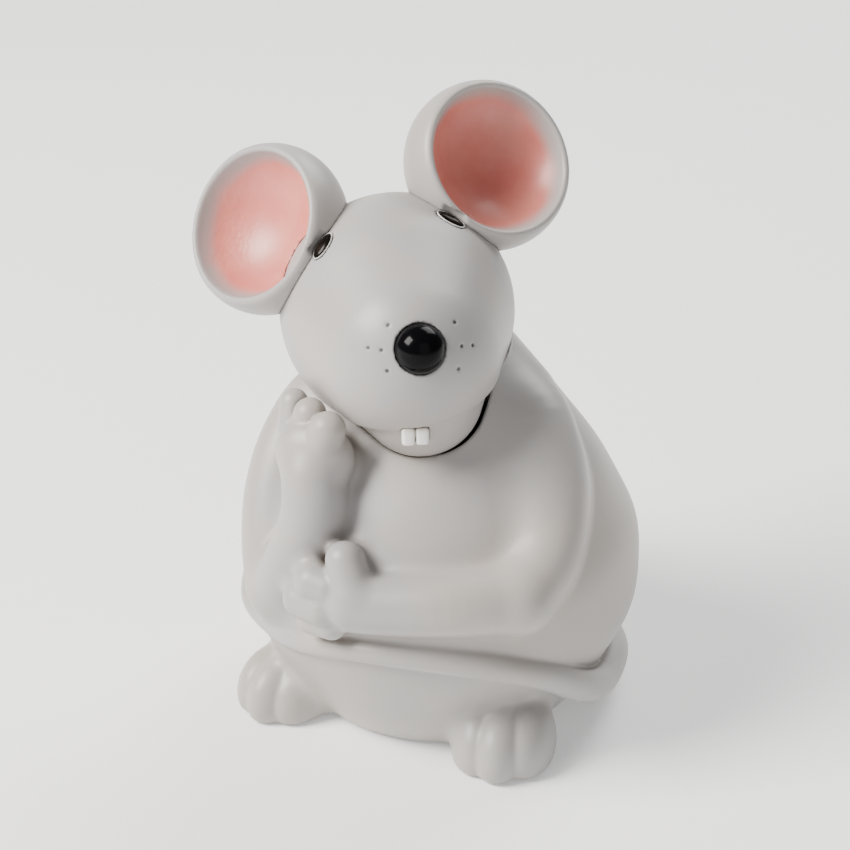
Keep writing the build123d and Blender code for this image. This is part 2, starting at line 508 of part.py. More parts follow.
for i in range(count + 1):
    a = 2 * pi * TURNS * i / count
    r = SPRING_IN + (SPRING_OUT - SPRING_T - SPRING_IN) * i / count
    inner.append((r * cos(a), r * sin(a)))
    outer.append(((r + SPRING_T) * cos(a), (r + SPRING_T) * sin(a)))
strip = make_face([Spline(*inner), Spline(*outer), Line(inner[0], outer[0]), Line(inner[-1], outer[-1])])
save("mainspring", Pos(KEY_X, BARREL_FRONT + BARREL_WALL + 0.2, KEY_Z) * Rot(-90, 0, 0) * extrude(strip, 5.2))

# ================================================================ cylinder
CYL_X1 = CYL_X0 + CYL_LENGTH
drum = rod("X", CYL_X0, CYL_X1, CYL_R, CYL_Y, CYL_Z) - rod("X", CYL_X0 + 1, CYL_X1 - 1, CYL_R - 1, CYL_Y, CYL_Z)
drum -= rod("X", -9, 40, SHAFT_R + SEAT, CYL_Y, CYL_Z)
PITCH_X = (CYL_LENGTH - 2.0) / NOTES
pins = []
for n in range(NOTES):
    for beat in range(3):
        angle = 40 * (n * 5 % 9) + 13 * beat * (n % 3 + 1) + 20
        px = CYL_X0 + 1.0 + PITCH_X * (n + 0.5)
        pin = Pos(px, CYL_Y, CYL_Z) * Rot(angle, 0, 0) * Pos(0, 0, CYL_R + PIN_UP / 2 - 0.25) * Cylinder(PIN_R, PIN_UP + 0.5)
        pins.append(pin.solid())
drum = drum.fuse(*pins)
save("cylinder", drum)
save("cylinder_arbor", rod("X", BRIDGE_X0 - 0.6, POST_X1 + 0.6, SHAFT_R, CYL_Y, CYL_Z))
spin = Rot(0, 90, 0)
pinion_x = KEY_X + CROWN_R
# a pinion tooth gap faces the crown (+Y), so the barrel's tooth at that point sits half a pitch off
pin_gear = Pos(pinion_x - 1.3, CYL_Y, CYL_Z) * Rot(90, 0, 0) * spin * spur(PINION_TEETH, 2.6, SHAFT_R + SEAT)
pin_gear += rod("X", pinion_x + 1.3, CYL_X0, 2.4, CYL_Y, CYL_Z) - rod("X", -9, 40, SHAFT_R + SEAT, CYL_Y, CYL_Z)
save("cylinder_pinion", pin_gear)
wheel = Pos(WHEEL_X, CYL_Y, CYL_Z) * spin * spur(WHEEL_TEETH, WHEEL_T, SHAFT_R + SEAT)
wheel += rod("X", CYL_X1, WHEEL_X, 3.0, CYL_Y, CYL_Z) - rod("X", -9, 40, SHAFT_R + SEAT, CYL_Y, CYL_Z)
save("cylinder_wheel", wheel)

# bearings of the cylinder arbor
bar_y0, bar_y1 = BARREL_FRONT - 2.9, BARREL_FRONT - 1.5
bridge = block(BRIDGE_X0, BRIDGE_X1, bar_y0, bar_y1, BRIDGE_FEET[0] + 2.4, BRIDGE_FEET[1] - 2.4)
bridge += block(BRIDGE_X0, BRIDGE_X1, CYL_Y - 2.2, bar_y1, CYL_Z - 2.4, CYL_Z + 2.4)
for z, way in zip(BRIDGE_FEET, (1, -1)):
    inner_z = z + way * 2.4
    bridge += block(BRIDGE_X0, BRIDGE_X1, bar_y0, BED_Y, min(inner_z, inner_z + way * 1.0), max(inner_z, inner_z + way * 1.0))
    bridge += block(BRIDGE_X0, BRIDGE_X1, BED_Y - 1.2, BED_Y, z - 2.4, z + 2.4)
    bridge -= rod("Y", BED_Y - 2, BED_Y + 1, M2 + SEAT, (BRIDGE_X0 + BRIDGE_X1) / 2, z)
bridge -= rod("X", -20, 20, SHAFT_R + RUN, CYL_Y, CYL_Z)
save("cylinder_bridge", bridge)
post = block(POST_X0, POST_X1, CYL_Y - 2.4, BED_Y, CYL_Z - 2.4, CYL_Z + 2.4)
post += block(POST_X0, POST_X1, BED_Y - 1.2, BED_Y, CYL_Z - 2.4, POST_FOOT_Z + 2.4)
post += block(POST_X0 - 1.2, POST_X1 + 1.2, BED_Y - 1.2, BED_Y, POST_FOOT_Z - 2.2, POST_FOOT_Z + 2.4)
post -= rod("X", 0, 40, SHAFT_R + RUN, CYL_Y, CYL_Z)
post -= rod("Y", BED_Y - 2, BED_Y + 1, M2 + SEAT, (POST_X0 + POST_X1) / 2, POST_FOOT_Z)
save("cylinder_post", post)
save("bearing_screws", *[rod("Y", BED_Y - 1.2, BACK_Y - 0.2, M2, x, z)
                         + rod("Y", BED_Y - 1.2 - M2_HEAD_T, BED_Y - 1.2, M2_HEAD - 0.2, x, z) for x, z in STUDS])

# ================================================================ comb
COMB_X0, COMB_X1 = CYL_X0 + 1.0, CYL_X1 - 1.0
comb = block(COMB_X0 - 0.6, COMB_X1 + 0.6, COMB_Y, COMB_Y + COMB_T, COMB_BASE - 1.5, COMB_BASE + 5.6)
reeds = []
for n in range(NOTES):
    x = COMB_X0 + PITCH_X * (n + 0.5)
    root = COMB_BASE - 1.0 - 2.5 * n / NOTES
    reeds.append(block(x - PITCH_X * 0.36, x + PITCH_X * 0.36, COMB_Y, COMB_Y + COMB_T, COMB_TIP, COMB_BASE - 1.0).solid())
comb = comb.fuse(*reeds)
for x, z in COMB_SCREWS:
    comb -= rod("Y", -5, 15, M2 + SEAT, x, z)
save("comb", comb)
riser = block(COMB_X0 - 0.6, COMB_X1 + 0.6, COMB_Y + COMB_T, BED_Y, COMB_BASE, COMB_BASE + 5.6)
for x, z in COMB_SCREWS:
    riser -= rod("Y", -5, 30, M2 + SEAT, x, z)
save("comb_block", riser)
save("comb_screws", *[rod("Y", COMB_Y, BACK_Y - 0.2, M2, x, z) + rod("Y", COMB_Y - M2_HEAD_T, COMB_Y, M2_HEAD, x, z)
                      for x, z in COMB_SCREWS])

# ================================================================ governor
GOV_LOW, GOV_HIGH = WORM_Z - 2.6, STAFF_Z + 5.0
GOV_FRONT = -0.2
gov = block(CHEEKS[0][0], CHEEKS[1][1], WEB_Y, BED_Y, GOV_LOW, GOV_HIGH)
for x0, x1 in CHEEKS:
    gov += block(x0, x1, CYL_Y - 2.6, WEB_Y, GOV_LOW, GOV_HIGH)
    gov += block(x0, x1, GOV_FRONT, CYL_Y, GOV_LOW, WORM_Z + 2.6)
BACK_BAR = 13.6
gov += block(CHEEKS[0][0], CHEEKS[1][1], BACK_BAR, BACK_BAR + 1.5, GOV_LOW, WORM_Z + 2.6)
gov -= rod("Y", BACK_BAR - 1, BACK_BAR + 3, 0.7 + RUN, WORM_X, WORM_Z)
gov -= rod("X", 10, 40, SHAFT_R - 0.3 + RUN, CYL_Y, STAFF_Z)
for x, z in GOV_SCREWS:
    gov -= rod("Y", WEB_Y - 1, BED_Y + 1, M2 + SEAT, x, z)
COCK_T = 1.4
COCK_SCREWS = [(sum(c) / 2, WORM_Z) for c in CHEEKS]
for x, z in COCK_SCREWS:
    gov -= rod("Y", GOV_FRONT - 1, GOV_FRONT + 4, 0.5 + SEAT, x, z)
save("governor_bracket", gov)
cock = block(CHEEKS[0][0], CHEEKS[1][1], GOV_FRONT - COCK_T, GOV_FRONT, GOV_LOW, WORM_Z + 2.6)
cock -= rod("Y", -5, 5, 0.7 + RUN, WORM_X, WORM_Z)
for x, z in COCK_SCREWS:
    cock -= rod("Y", -5, 5, 0.5 + SEAT, x, z)
save("governor_cock", cock)
save("cock_screws", *[rod("Y", GOV_FRONT - COCK_T, GOV_FRONT + 3.6, 0.5, x, z)
                      + rod("Y", GOV_FRONT - COCK_T - 0.7, GOV_FRONT - COCK_T, 0.9, x, z) for x, z in COCK_SCREWS])
save("governor_screws", *[rod("Y", WEB_Y, BACK_Y - 0.2, M2, x, z) + rod("Y", WEB_Y - M2_HEAD_T, WEB_Y, M2_HEAD - 0.2, x, z)
                          for x, z in GOV_SCREWS])

# staff: pinion and arbor in one piece, with the worm wheel pressed on
# a tooth of the cylinder wheel points straight down at rest, so a gap of the staff points up
staff = Pos(CHEEKS[0][1] + FACE, CYL_Y, STAFF_Z) * Rot(180 / STAFF_TEETH, 0, 0) * spin * spur(STAFF_TEETH, 2.6, 0)
staff += rod("X", CHEEKS[0][0] - 0.4, CHEEKS[1][1] + 0.4, SHAFT_R - 0.3, CYL_Y, STAFF_Z)
save("staff", staff)
WORM_WHEEL_T = 1.2
worm_wheel = Pos(WORM_X - WORM_WHEEL_T / 2, CYL_Y, STAFF_Z) * spin * spur(WORM_WHEEL_TEETH, WORM_WHEEL_T, SHAFT_R - 0.3 + SEAT)
staff_end = CHEEKS[0][1] + FACE + 2.6
worm_wheel += (rod("X", staff_end, WORM_X, 1.9, CYL_Y, STAFF_Z)
               - rod("X", 0, 40, SHAFT_R - 0.3 + SEAT, CYL_Y, STAFF_Z))
save("worm_wheel", worm_wheel)

# two-start worm on an upright-to-the-plate arbor, with the air-brake fan in front
WORM_ROOT, WORM_TIP = WORM_R - DED * MODULE, WORM_R + ADD * MODULE
LEAD = WORM_STARTS * pi * MODULE
worm_y0, worm_y1 = CYL_Y - 3.4, CYL_Y + 3.4
span = 360 / WORM_STARTS * 0.30
section = Circle(WORM_ROOT)
for i in range(WORM_STARTS):
    mid = 360 * i / WORM_STARTS
    arc = [(WORM_TIP * cos(radians(mid + span * f / 8)), WORM_TIP * sin(radians(mid + span * f / 8))) for f in range(-4, 5)]
    section += make_face(Polyline((0, 0), *arc, (0, 0)))
turn = 360 * (worm_y1 - worm_y0) / LEAD
section = Rot(0, 0, -turn / 2) * section    # so that a gap faces the wheel at rest
thread = Solid.extrude_linear_with_rotation(section.face(), (0, 0, 0), (0, 0, worm_y1 - worm_y0), turn)
worm = Pos(WORM_X, worm_y0, WORM_Z) * Rot(-90, 0, 0) * thread
COCK_OUT = GOV_FRONT - COCK_T
worm += rod("Y", COCK_OUT - 5.0, BACK_BAR + 1.9, 0.7, WORM_X, WORM_Z)
worm += rod("Y", GOV_FRONT + FACE, worm_y0, 1.3, WORM_X, WORM_Z)
worm += rod("Y", worm_y1, BACK_BAR - FACE, 1.3, WORM_X, WORM_Z)
save("worm", worm)
fan_y0, fan_y1 = COCK_OUT - 5.4, COCK_OUT - 1.4
fan = rod("Y", fan_y0, fan_y1, 1.5, WORM_X, WORM_Z)
fan += block(WORM_X - FAN_R, WORM_X + FAN_R, fan_y0, fan_y1, WORM_Z - 0.3, WORM_Z + 0.3)
save("fan", fan - rod("Y", -20, 0, 0.7 + SEAT, WORM_X, WORM_Z))
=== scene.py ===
# %% [markdown]
# # A wind-up musical mouse
# The toy is a seated mouse moulded in grey, with a head that turns on its neck and a small
# comb-and-cylinder movement inside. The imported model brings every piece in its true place, in
# metres, already tied to the body that carries it. This lesson leaves those places alone. It gives
# the moulded pieces their soft skins, gives every piece a finish, and then lights the toy.

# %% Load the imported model
import json
import math

import bpy
import numpy as np
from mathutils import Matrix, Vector


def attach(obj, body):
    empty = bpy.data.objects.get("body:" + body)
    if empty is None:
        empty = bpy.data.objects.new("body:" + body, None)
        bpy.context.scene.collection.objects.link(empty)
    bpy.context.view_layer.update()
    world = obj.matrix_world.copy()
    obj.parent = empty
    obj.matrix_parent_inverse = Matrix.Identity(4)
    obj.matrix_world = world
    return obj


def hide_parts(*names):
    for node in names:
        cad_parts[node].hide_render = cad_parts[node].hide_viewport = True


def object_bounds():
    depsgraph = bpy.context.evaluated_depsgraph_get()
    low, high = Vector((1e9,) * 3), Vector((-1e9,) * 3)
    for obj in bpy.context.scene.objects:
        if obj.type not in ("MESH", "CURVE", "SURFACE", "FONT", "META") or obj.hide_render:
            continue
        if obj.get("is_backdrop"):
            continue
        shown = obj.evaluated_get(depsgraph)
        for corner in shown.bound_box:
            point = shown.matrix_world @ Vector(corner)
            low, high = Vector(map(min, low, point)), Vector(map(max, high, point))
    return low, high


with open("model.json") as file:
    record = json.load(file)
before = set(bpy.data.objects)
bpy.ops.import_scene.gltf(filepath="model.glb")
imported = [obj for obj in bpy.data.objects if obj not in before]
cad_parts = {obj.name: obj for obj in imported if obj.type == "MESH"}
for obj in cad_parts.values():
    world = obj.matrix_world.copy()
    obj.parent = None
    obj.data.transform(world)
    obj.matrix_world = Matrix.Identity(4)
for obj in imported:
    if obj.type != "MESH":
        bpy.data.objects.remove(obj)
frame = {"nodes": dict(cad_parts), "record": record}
cad_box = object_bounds()
MM = 0.001
print("pieces in the packed model:", len(frame["nodes"]))

# %% [markdown]
# ## The camera first
# A camera set early lets every later step be judged from the same place. The toy is seen from a
# little above and from its right-hand side, with a long lens so that the ears and feet keep their
# true proportions. An empty target would also work, but turning the camera with `to_track_quat`
# needs no constraint, so nothing is left behind that could change another view.

# %% Place the camera
CAMERA_TARGET = Vector((-6.19, 2.97, 82.37)) * MM
CAMERA_TURN, CAMERA_RISE, CAMERA_AWAY = math.radians(25), math.radians(25), 700 * MM
CAMERA_LENS = 102.2
toward = Vector((math.sin(CAMERA_TURN) * math.cos(CAMERA_RISE),
                 -math.cos(CAMERA_TURN) * math.cos(CAMERA_RISE), math.sin(CAMERA_RISE)))
camera = bpy.data.objects.new("camera", bpy.data.cameras.new("camera"))
bpy.context.scene.collection.objects.link(camera)
camera.location = CAMERA_TARGET + toward * CAMERA_AWAY
camera.rotation_mode = "QUATERNION"
camera.rotation_quaternion = (-toward).to_track_quat("-Z", "Y")
camera.data.lens = CAMERA_LENS
camera.data.clip_start, camera.data.clip_end = 0.01, 20
bpy.context.scene.camera = camera
print("camera at", [round(c, 3) for c in camera.location])

# %% [markdown]
# ## Clay made of distances
# A moulded figure starts as clay: lumps pressed together until the joins are smooth. Metaballs or a
# sculpted, remeshed blob would give such forms, but metaballs are hard to size and a sculpt can't be
# written down. Here each lump is a function that says how far a point is from its skin, negative
# inside. Two lumps join with a smooth minimum, whose `soft` value is the width of the clay fillet.

# %% Distance helpers, in millimetres
FAR = 14.0                                  # beyond this a limb's exact distance doesn't matter


def soft_join(a, b, soft):
    """The union of two forms with a fillet about as wide as soft."""
    near = np.maximum(soft - np.abs(a - b), 0) / soft
    return np.minimum(a, b) - near * near * soft / 4


def soft_cut(a, b, soft):
    """Form a without form b, the edge eased by soft."""
    return -soft_join(-a, b, soft)


def length(v):
    return np.sqrt((v * v).sum(-1))


def egg(p, centre, radii, turn=None):
    """An egg with three radii; turn is a 3 by 3 matrix of its axes."""
    q = p - centre
    if turn is not None:
        q = q @ turn
    r = np.array(radii, float)
    near, slope = length(q / r), length(q / r ** 2)
    return near * (near - 1) / np.maximum(slope, 1e-9)


def sausage(p, a, b, ra, rb):
    """A limb piece: the skin stretched over a ball of radius ra at a and one of rb at b."""
    a, b = np.array(a, float), np.array(b, float)
    along = b - a
    l2, taper = along @ along, ra - rb
    lean = l2 - taper * taper
    pa = p - a
    y = pa @ along
    z = y - l2
    side = pa * l2 - y[:, None] * along
    x2 = (side * side).sum(-1)
    k = np.sign(taper) * taper * taper * x2
    flank = (np.sqrt(np.maximum(x2 * lean / l2, 0)) + y * taper) / l2 - ra
    first = np.sqrt(x2 + y * y * l2) / l2 - ra
    last = np.sqrt(x2 + z * z * l2) / l2 - rb
    out = np.where(np.sign(y) * lean * y * y * l2 < k, first, flank)
    return np.where(np.sign(z) * lean * z * z * l2 > k, last, out)


def bent(stations, between=5):
    """More stations, on a smooth curve through the given (x, y, z, radius) ones."""
    s = np.array(stations, float)
    s = np.vstack([2 * s[0] - s[1], s, 2 * s[-1] - s[-2]])
    made = []
    for a, b, c, d in zip(s[:-3], s[1:-2], s[2:-1], s[3:]):
        for t in np.arange(between) / between:
            made.append(b + (c - a) * t / 2 + (a - 2.5 * b + 2 * c - d / 2) * t ** 2
                        + (-a / 2 + 1.5 * b - 1.5 * c + d / 2) * t ** 3)
    return np.array(made + [s[-2]])


def limb(p, stations):
    """Short sausages along a limb, each measured only for the points near it."""
    s = np.array(stations, float)
    middle, reach = (s[1:, :3] + s[:-1, :3]) / 2, length(s[1:, :3] - s[:-1, :3]) / 2
    reach = reach + np.maximum(s[1:, 3], s[:-1, 3])
    out = np.full(len(p), np.inf)
    for a, b, centre, size in zip(s[:-1], s[1:], middle, reach):
        d = length(p - centre) - size
        close = d < FAR
        d[close] = sausage(p[close], a[:3], b[:3], a[3], b[3])
        out = np.minimum(out, d)
    return out


def cylinder(p, axis, centre, radius, low, high):
    """A plain rod along x, y or z (0, 1, 2) between two stations; centre gives the other two."""
    u, v = [k for k in range(3) if k != axis]
    r = np.hypot(p[:, u] - centre[0], p[:, v] - centre[1]) - radius
    return np.maximum(r, np.maximum(low - p[:, axis], p[:, axis] - high))


def turn_about(axis, angle):
    c, s = math.cos(math.radians(angle)), math.sin(math.radians(angle))
    u, v = [(1, 2), (2, 0), (0, 1)][axis]
    m = np.eye(3)
    m[u, u], m[u, v], m[v, u], m[v, v] = c, -s, s, c
    return m


print("helpers ready")

# %% [markdown]
# ## From distances to a mesh
# Marching cubes is the usual way to turn distances into triangles. Surface nets suits moulded forms
# better: it puts one vertex in each small cell that the skin crosses and joins them with even quads,
# with no slivers. A coarse look finds the cells near the skin, so only those are measured. Then the
# vertices slide to even spacing and step back onto the true skin, which leaves it smooth.

# %% The net that becomes the skin
CELLS = 4                                   # cells along a coarse block
CHUNK = 250_000


def measured(field, p):
    return np.concatenate([field(p[i:i + CHUNK]) for i in range(0, len(p), CHUNK)])


def slope_and_height(field, v, h=0.06):
    """Four samples round each vertex give the skin's direction and the distance from it."""
    arms = np.array([(1, -1, -1), (-1, -1, 1), (-1, 1, -1), (1, 1, 1)], float)
    values = [measured(field, v + h * arm) for arm in arms]
    slope = sum(f[:, None] * arm for f, arm in zip(values, arms)) / (4 * h)
    return slope, sum(values) / 4


def net(field, low, high, step, rounds=2):
    """Vertices and quads of the skin where field is zero, in millimetres."""
    low = np.array(low, float)
    blocks = np.ceil((np.array(high) - low) / step / CELLS).astype(int)
    middle = np.stack(np.meshgrid(*[np.arange(b) + 0.5 for b in blocks], indexing="ij"), -1)
    middle = low + middle.reshape(-1, 3) * CELLS * step
    near = np.abs(measured(field, middle)).reshape(blocks) < CELLS * step * 1.15
    for axis in range(3):
        near = near.repeat(CELLS, axis)
    wanted = np.pad(near, ((0, 1),) * 3)
    for axis in range(3):
        wanted |= np.roll(wanted, 1, axis)
    corners = np.argwhere(wanted)
    heights = np.full(wanted.shape, np.nan)
    heights[wanted] = measured(field, low + corners * step)
    points, quads_of, flip = [], [], []
    size = np.array(wanted.shape)
    for axis in range(3):
        here = [slice(None)] * 3
        there = [slice(None)] * 3
        here[axis], there[axis] = slice(0, -1), slice(1, None)
        f0, f1 = heights[tuple(here)], heights[tuple(there)]
        at = np.argwhere((f0 < 0) != (f1 < 0))
        a, b = f0[tuple(at.T)], f1[tuple(at.T)]
        both = ~(np.isnan(a) | np.isnan(b))
        at, a, b = at[both], a[both], b[both]
        cross = at.astype(float)
        cross[:, axis] += a / (a - b)
        u, v = np.eye(3, dtype=int)[(axis + 1) % 3], np.eye(3, dtype=int)[(axis + 2) % 3]
        cells = np.stack([at, at - u, at - u - v, at - v], 1)
        points.append(np.repeat(cross[:, None], 4, 1))
        quads_of.append(cells)
        flip.append(a > 0)
    points, cells, flip = map(np.concatenate, (points, quads_of, flip))
    index = (cells[..., 0] * size[1] + cells[..., 1]) * size[2] + cells[..., 2]
    _, name = np.unique(index, return_inverse=True)
    name = name.ravel()
    count = np.bincount(name)
    flat = points.reshape(-1, 3)
    verts = np.stack([np.bincount(name, flat[:, k]) / count for k in range(3)], 1) * step + low
    quads = name.reshape(-1, 4)
    quads[flip] = quads[flip][:, ::-1]
    for turn in range(rounds + 1):
        if turn:
            mates = np.concatenate([quads[:, [1, 2, 3, 0]], quads[:, [3, 0, 1, 2]]]).ravel()
            own = np.concatenate([quads, quads]).ravel()
            total = np.bincount(own, minlength=len(verts))
            mean = np.stack([np.bincount(own, verts[mates, k], len(verts)) for k in range(3)], 1)
            verts = verts + 0.5 * (mean / total[:, None] - verts)
        slope, height = slope_and_height(field, verts)
        pull = height[:, None] * slope / np.maximum((slope * slope).sum(1), 0.3)[:, None]
        size_of = length(pull)[:, None]
        verts = verts - pull * np.minimum(1, 0.6 * step / np.maximum(size_of, 1e-9))
    return verts, quads


def shelter(field, verts):
    """0 in the open, towards 1 in a crease: how much the form closes over each vertex."""
    slope, _ = slope_and_height(field, verts)
    out = slope / np.maximum(length(slope), 1e-6)[:, None]
    closed = 0
    for reach in (1.2, 2.5, 5.0):
        closed = closed + np.clip((reach - measured(field, verts + out * reach)) / reach, 0, 1) / 3
    return closed


def skin_object(name, verts, quads, **values):
    """A mesh object in metres with smooth shading and one named value per vertex each."""
    mesh = bpy.data.meshes.new(name)
    mesh.vertices.add(len(verts))
    mesh.vertices.foreach_set("co", (verts * MM).ravel())
    mesh.loops.add(quads.size)
    mesh.loops.foreach_set("vertex_index", quads.ravel().astype(np.int32))
    mesh.polygons.add(len(quads))
    mesh.polygons.foreach_set("loop_start", np.arange(0, quads.size, 4, dtype=np.int32))
    mesh.update(calc_edges=True)
    mesh.polygons.foreach_set("use_smooth", np.ones(len(quads), bool))
    for label, numbers in values.items():
        layer = mesh.attributes.new(label, "FLOAT", "POINT")
        layer.data.foreach_set("value", numbers.astype(np.float32))
    mesh.validate()
    made = bpy.data.objects.new(name, mesh)
    bpy.context.scene.collection.objects.link(made)
    print(f"{name}: {len(mesh.vertices)} vertices")
    return made


FINE = 1.0           # a coarser net while trying things

# %% [markdown]
# ## The head
# The skull is one egg that narrows to the muzzle, and the jaw is a second, smaller form tucked under
# it. The upper head stops at a sloping mouth plane, so the muzzle hangs over the chin like a cap.
# Modelling the two in one mesh by hand would need a careful edge loop round the mouth; cutting a
# soft egg with a plane gives the same lip and keeps the skull round.

# %% The head's form
HEAD_CENTRE = np.array((-10.6, -6.0, 121.0))
HEAD_AXES = turn_about(2, 30.5) @ turn_about(0, -9.1) @ turn_about(1, -12.5)
HEAD_R, SHELL = 32.5, 3.0
MOUTH_HEIGHT, MOUTH_SLOPE = -15.4, math.tan(math.radians(12.6))


def on_head(x, y, z):
    """A point of the head's own frame: x to its left, -y to its nose, z up."""
    return HEAD_CENTRE + HEAD_AXES @ np.array((x, y, z), float)


SNOUT, MUZZLE = on_head(0, -20, -7), on_head(0, -26, -2)
JAW, CHIN = on_head(0, -3, -5), on_head(0, -22, -19)


def head_mass(p):
    q = (p - HEAD_CENTRE) @ HEAD_AXES
    upper = soft_join(sausage(p, HEAD_CENTRE, SNOUT, HEAD_R, 25.5),
                      sausage(p, HEAD_CENTRE, MUZZLE, 30, 19), 6)
    mouth = (MOUTH_HEIGHT + MOUTH_SLOPE * q[:, 1] - q[:, 2]) / math.hypot(1, MOUTH_SLOPE)
    upper = -soft_join(-upper, -mouth, 1.6)
    return np.minimum(upper, sausage(p, JAW, CHIN, 28, 17.4))


print("nose end of the muzzle at", np.round(MUZZLE, 1))

# %% [markdown]
# The fittings of the head sit in real recesses: the nose ball in a dish, the teeth in a slot, each
# eye in an oval pocket. Eight pin pricks in the muzzle stand for whiskers. A boolean could cut them,
# but a boolean on a dense mesh leaves slivers, so each one is simply another distance taken away
# before the mesh is made. The skull is hollow, with a round spigot underneath for the neck.

# %% Recesses, pin pricks and the neck
NOSE_AT, NOSE_R, NOSE_BACK = (2.1, -44.2, -0.8), 6.9, -41.6
# the teeth's own frame has its origin at their root and hangs straighter than the head is held
TEETH_AT, TEETH_AXES = on_head(-4.0, -39.6, -23.3), HEAD_AXES @ turn_about(1, 12.0)
TEETH_LOW, TEETH_HIGH = np.array((-3.7, 0.0, -4.8)), np.array((3.7, 3.0, 0.0))
EYE_AT = {"left": (20.0, -11.0, 23.8), "right": (-16.0, -13.0, 25.9)}
EYE_LEAN = {"left": -22.0, "right": 38.0}
EYE_OVAL = (4.0, 2.25)
WHISKERS = [(-4.5, -43.1, 7.3), (-11.1, -42.7, 2.5), (-7.9, -44.5, 1.5), (-7.7, -45.3, -4.2),
            (12.9, -41.2, 3.1), (13.2, -42.6, -3.4), (16.2, -40.3, -4.5), (10.9, -43.6, -9.0)]
PRICK_R = 0.5
GLUE, POCKET, SHARP = 0.05, 0.36, 0.5       # round a glued piece, round an eye, a cut's soft edge
SEAT_Z, FELT_T, FELT_R, NECK_R, BOSS_LOW = 87.2, 1.2, 13.0, 8.0, 82.2


def onto_head(at):
    """The point of the skull's skin straight out from a place near it."""
    start = on_head(0, -6, 0)
    out = on_head(*at) - start
    out = out / np.linalg.norm(out)
    steps = start + out * np.linspace(10, 60, 2501)[:, None]
    return steps[np.argmin(np.abs(head_mass(steps)))], out


def eye_axes(side):
    """Skin point, and axes along the oval's length, its width and out of the skull."""
    at, out = onto_head(EYE_AT[side])
    slope, _ = slope_and_height(head_mass, at[None])
    out = slope[0] / np.linalg.norm(slope[0])
    across = HEAD_AXES[:, 0] - out * (HEAD_AXES[:, 0] @ out)
    across = across / np.linalg.norm(across)
    up = np.cross(out, across)
    a = math.radians(EYE_LEAN[side])
    long_way = across * math.cos(a) + up * math.sin(a)
    return at, np.stack([long_way, np.cross(out, long_way), out], 1)


EYES = {side: eye_axes(side) for side in EYE_AT}
PRICKS = np.array([onto_head(w)[0] for w in WHISKERS])


def oval(p, side, grow):
    """Distance across the eye's outline, flat in the skin."""
    at, axes = EYES[side]
    q = (p - at) @ axes
    r = np.array(EYE_OVAL) + grow
    k = length(q[:, :2] / r)
    return k * (k - 1) / np.maximum(length(q[:, :2] / r ** 2), 1e-9), q[:, 2]


def head_field(p):
    q = (p - HEAD_CENTRE) @ HEAD_AXES
    d = head_mass(p)
    hollow = np.minimum(length(p - HEAD_CENTRE) - (HEAD_R - SHELL),
                        sausage(p, HEAD_CENTRE, MUZZLE, 24, 15.5))
    d = np.maximum(d, -hollow)
    neck = HEAD_CENTRE[:2]
    spigot = np.minimum(cylinder(p, 2, neck, FELT_R - 0.4, SEAT_Z + FELT_T + 0.05, 97.5),
                        cylinder(p, 2, neck, NECK_R, BOSS_LOW - 0.3, SEAT_Z + 2.2))
    d = np.minimum(d, spigot)
    d = np.maximum(d, -cylinder(p, 2, neck, 1.55, BOSS_LOW - 2, BOSS_LOW + 9))
    ball = np.maximum(length(q - NOSE_AT) - NOSE_R - GLUE, q[:, 1] - NOSE_BACK)
    stem = cylinder(q, 1, (NOSE_AT[0], NOSE_AT[2]), 2.55, NOSE_BACK - 1, NOSE_BACK + 3.6)
    d = soft_cut(d, np.minimum(ball, stem), 0.25)
    w = (p - TEETH_AT) @ TEETH_AXES
    slot = np.maximum(TEETH_LOW - (GLUE, 20, 8) - w, w - TEETH_HIGH - (GLUE, GLUE, 0)).max(1)
    d = np.maximum(d, -slot)
    for side in EYES:
        across, out = oval(p, side, POCKET)
        d = soft_cut(d, np.maximum(across, -1.3 - out), SHARP)
    for prick in PRICKS:
        d = soft_cut(d, length(p - prick) - PRICK_R, SHARP)
    return d


verts, quads = net(head_field, (-60, -72, 79), (42, 34, 160), 0.6 * FINE)
head = skin_object("head", verts, quads, shelter=shelter(head_mass, verts))
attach(head, "head")
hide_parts("head_shell")

# %% [markdown]
# ## The body
# The body is a pear turned about an upright axis, with arms, hands, feet and a tail pressed onto it.
# A lathed pear with limbs joined by booleans would have hard seams all round. Here every limb joins
# with its own fillet: wide where a shoulder melts into the back, narrow where one finger lies against
# the next, and almost none along the tail, which reads as a band wrapped round the belly.

# %% The pear
PEAR_Y = 1.4
PEAR_HEIGHTS = np.array([0, 8, 20, 32, 44, 56, 66, 76, 85, 93, 101, 108, 114.0])
PEAR_RADII = np.array([37.3, 44, 51.1, 56.7, 58.0, 56.8, 52.3, 46.9, 40.6, 34.6, 28.9, 23.5, 18.8])


def natural_slopes(x, y):
    """Second slopes of the smooth curve through the given points, with free ends."""
    h = np.diff(x)
    m = np.eye(len(x))
    right = np.zeros(len(x))
    for i in range(1, len(x) - 1):
        m[i, i - 1:i + 2] = h[i - 1], 2 * (h[i - 1] + h[i]), h[i]
        right[i] = 6 * ((y[i + 1] - y[i]) / h[i] - (y[i] - y[i - 1]) / h[i - 1])
    return np.linalg.solve(m, right)


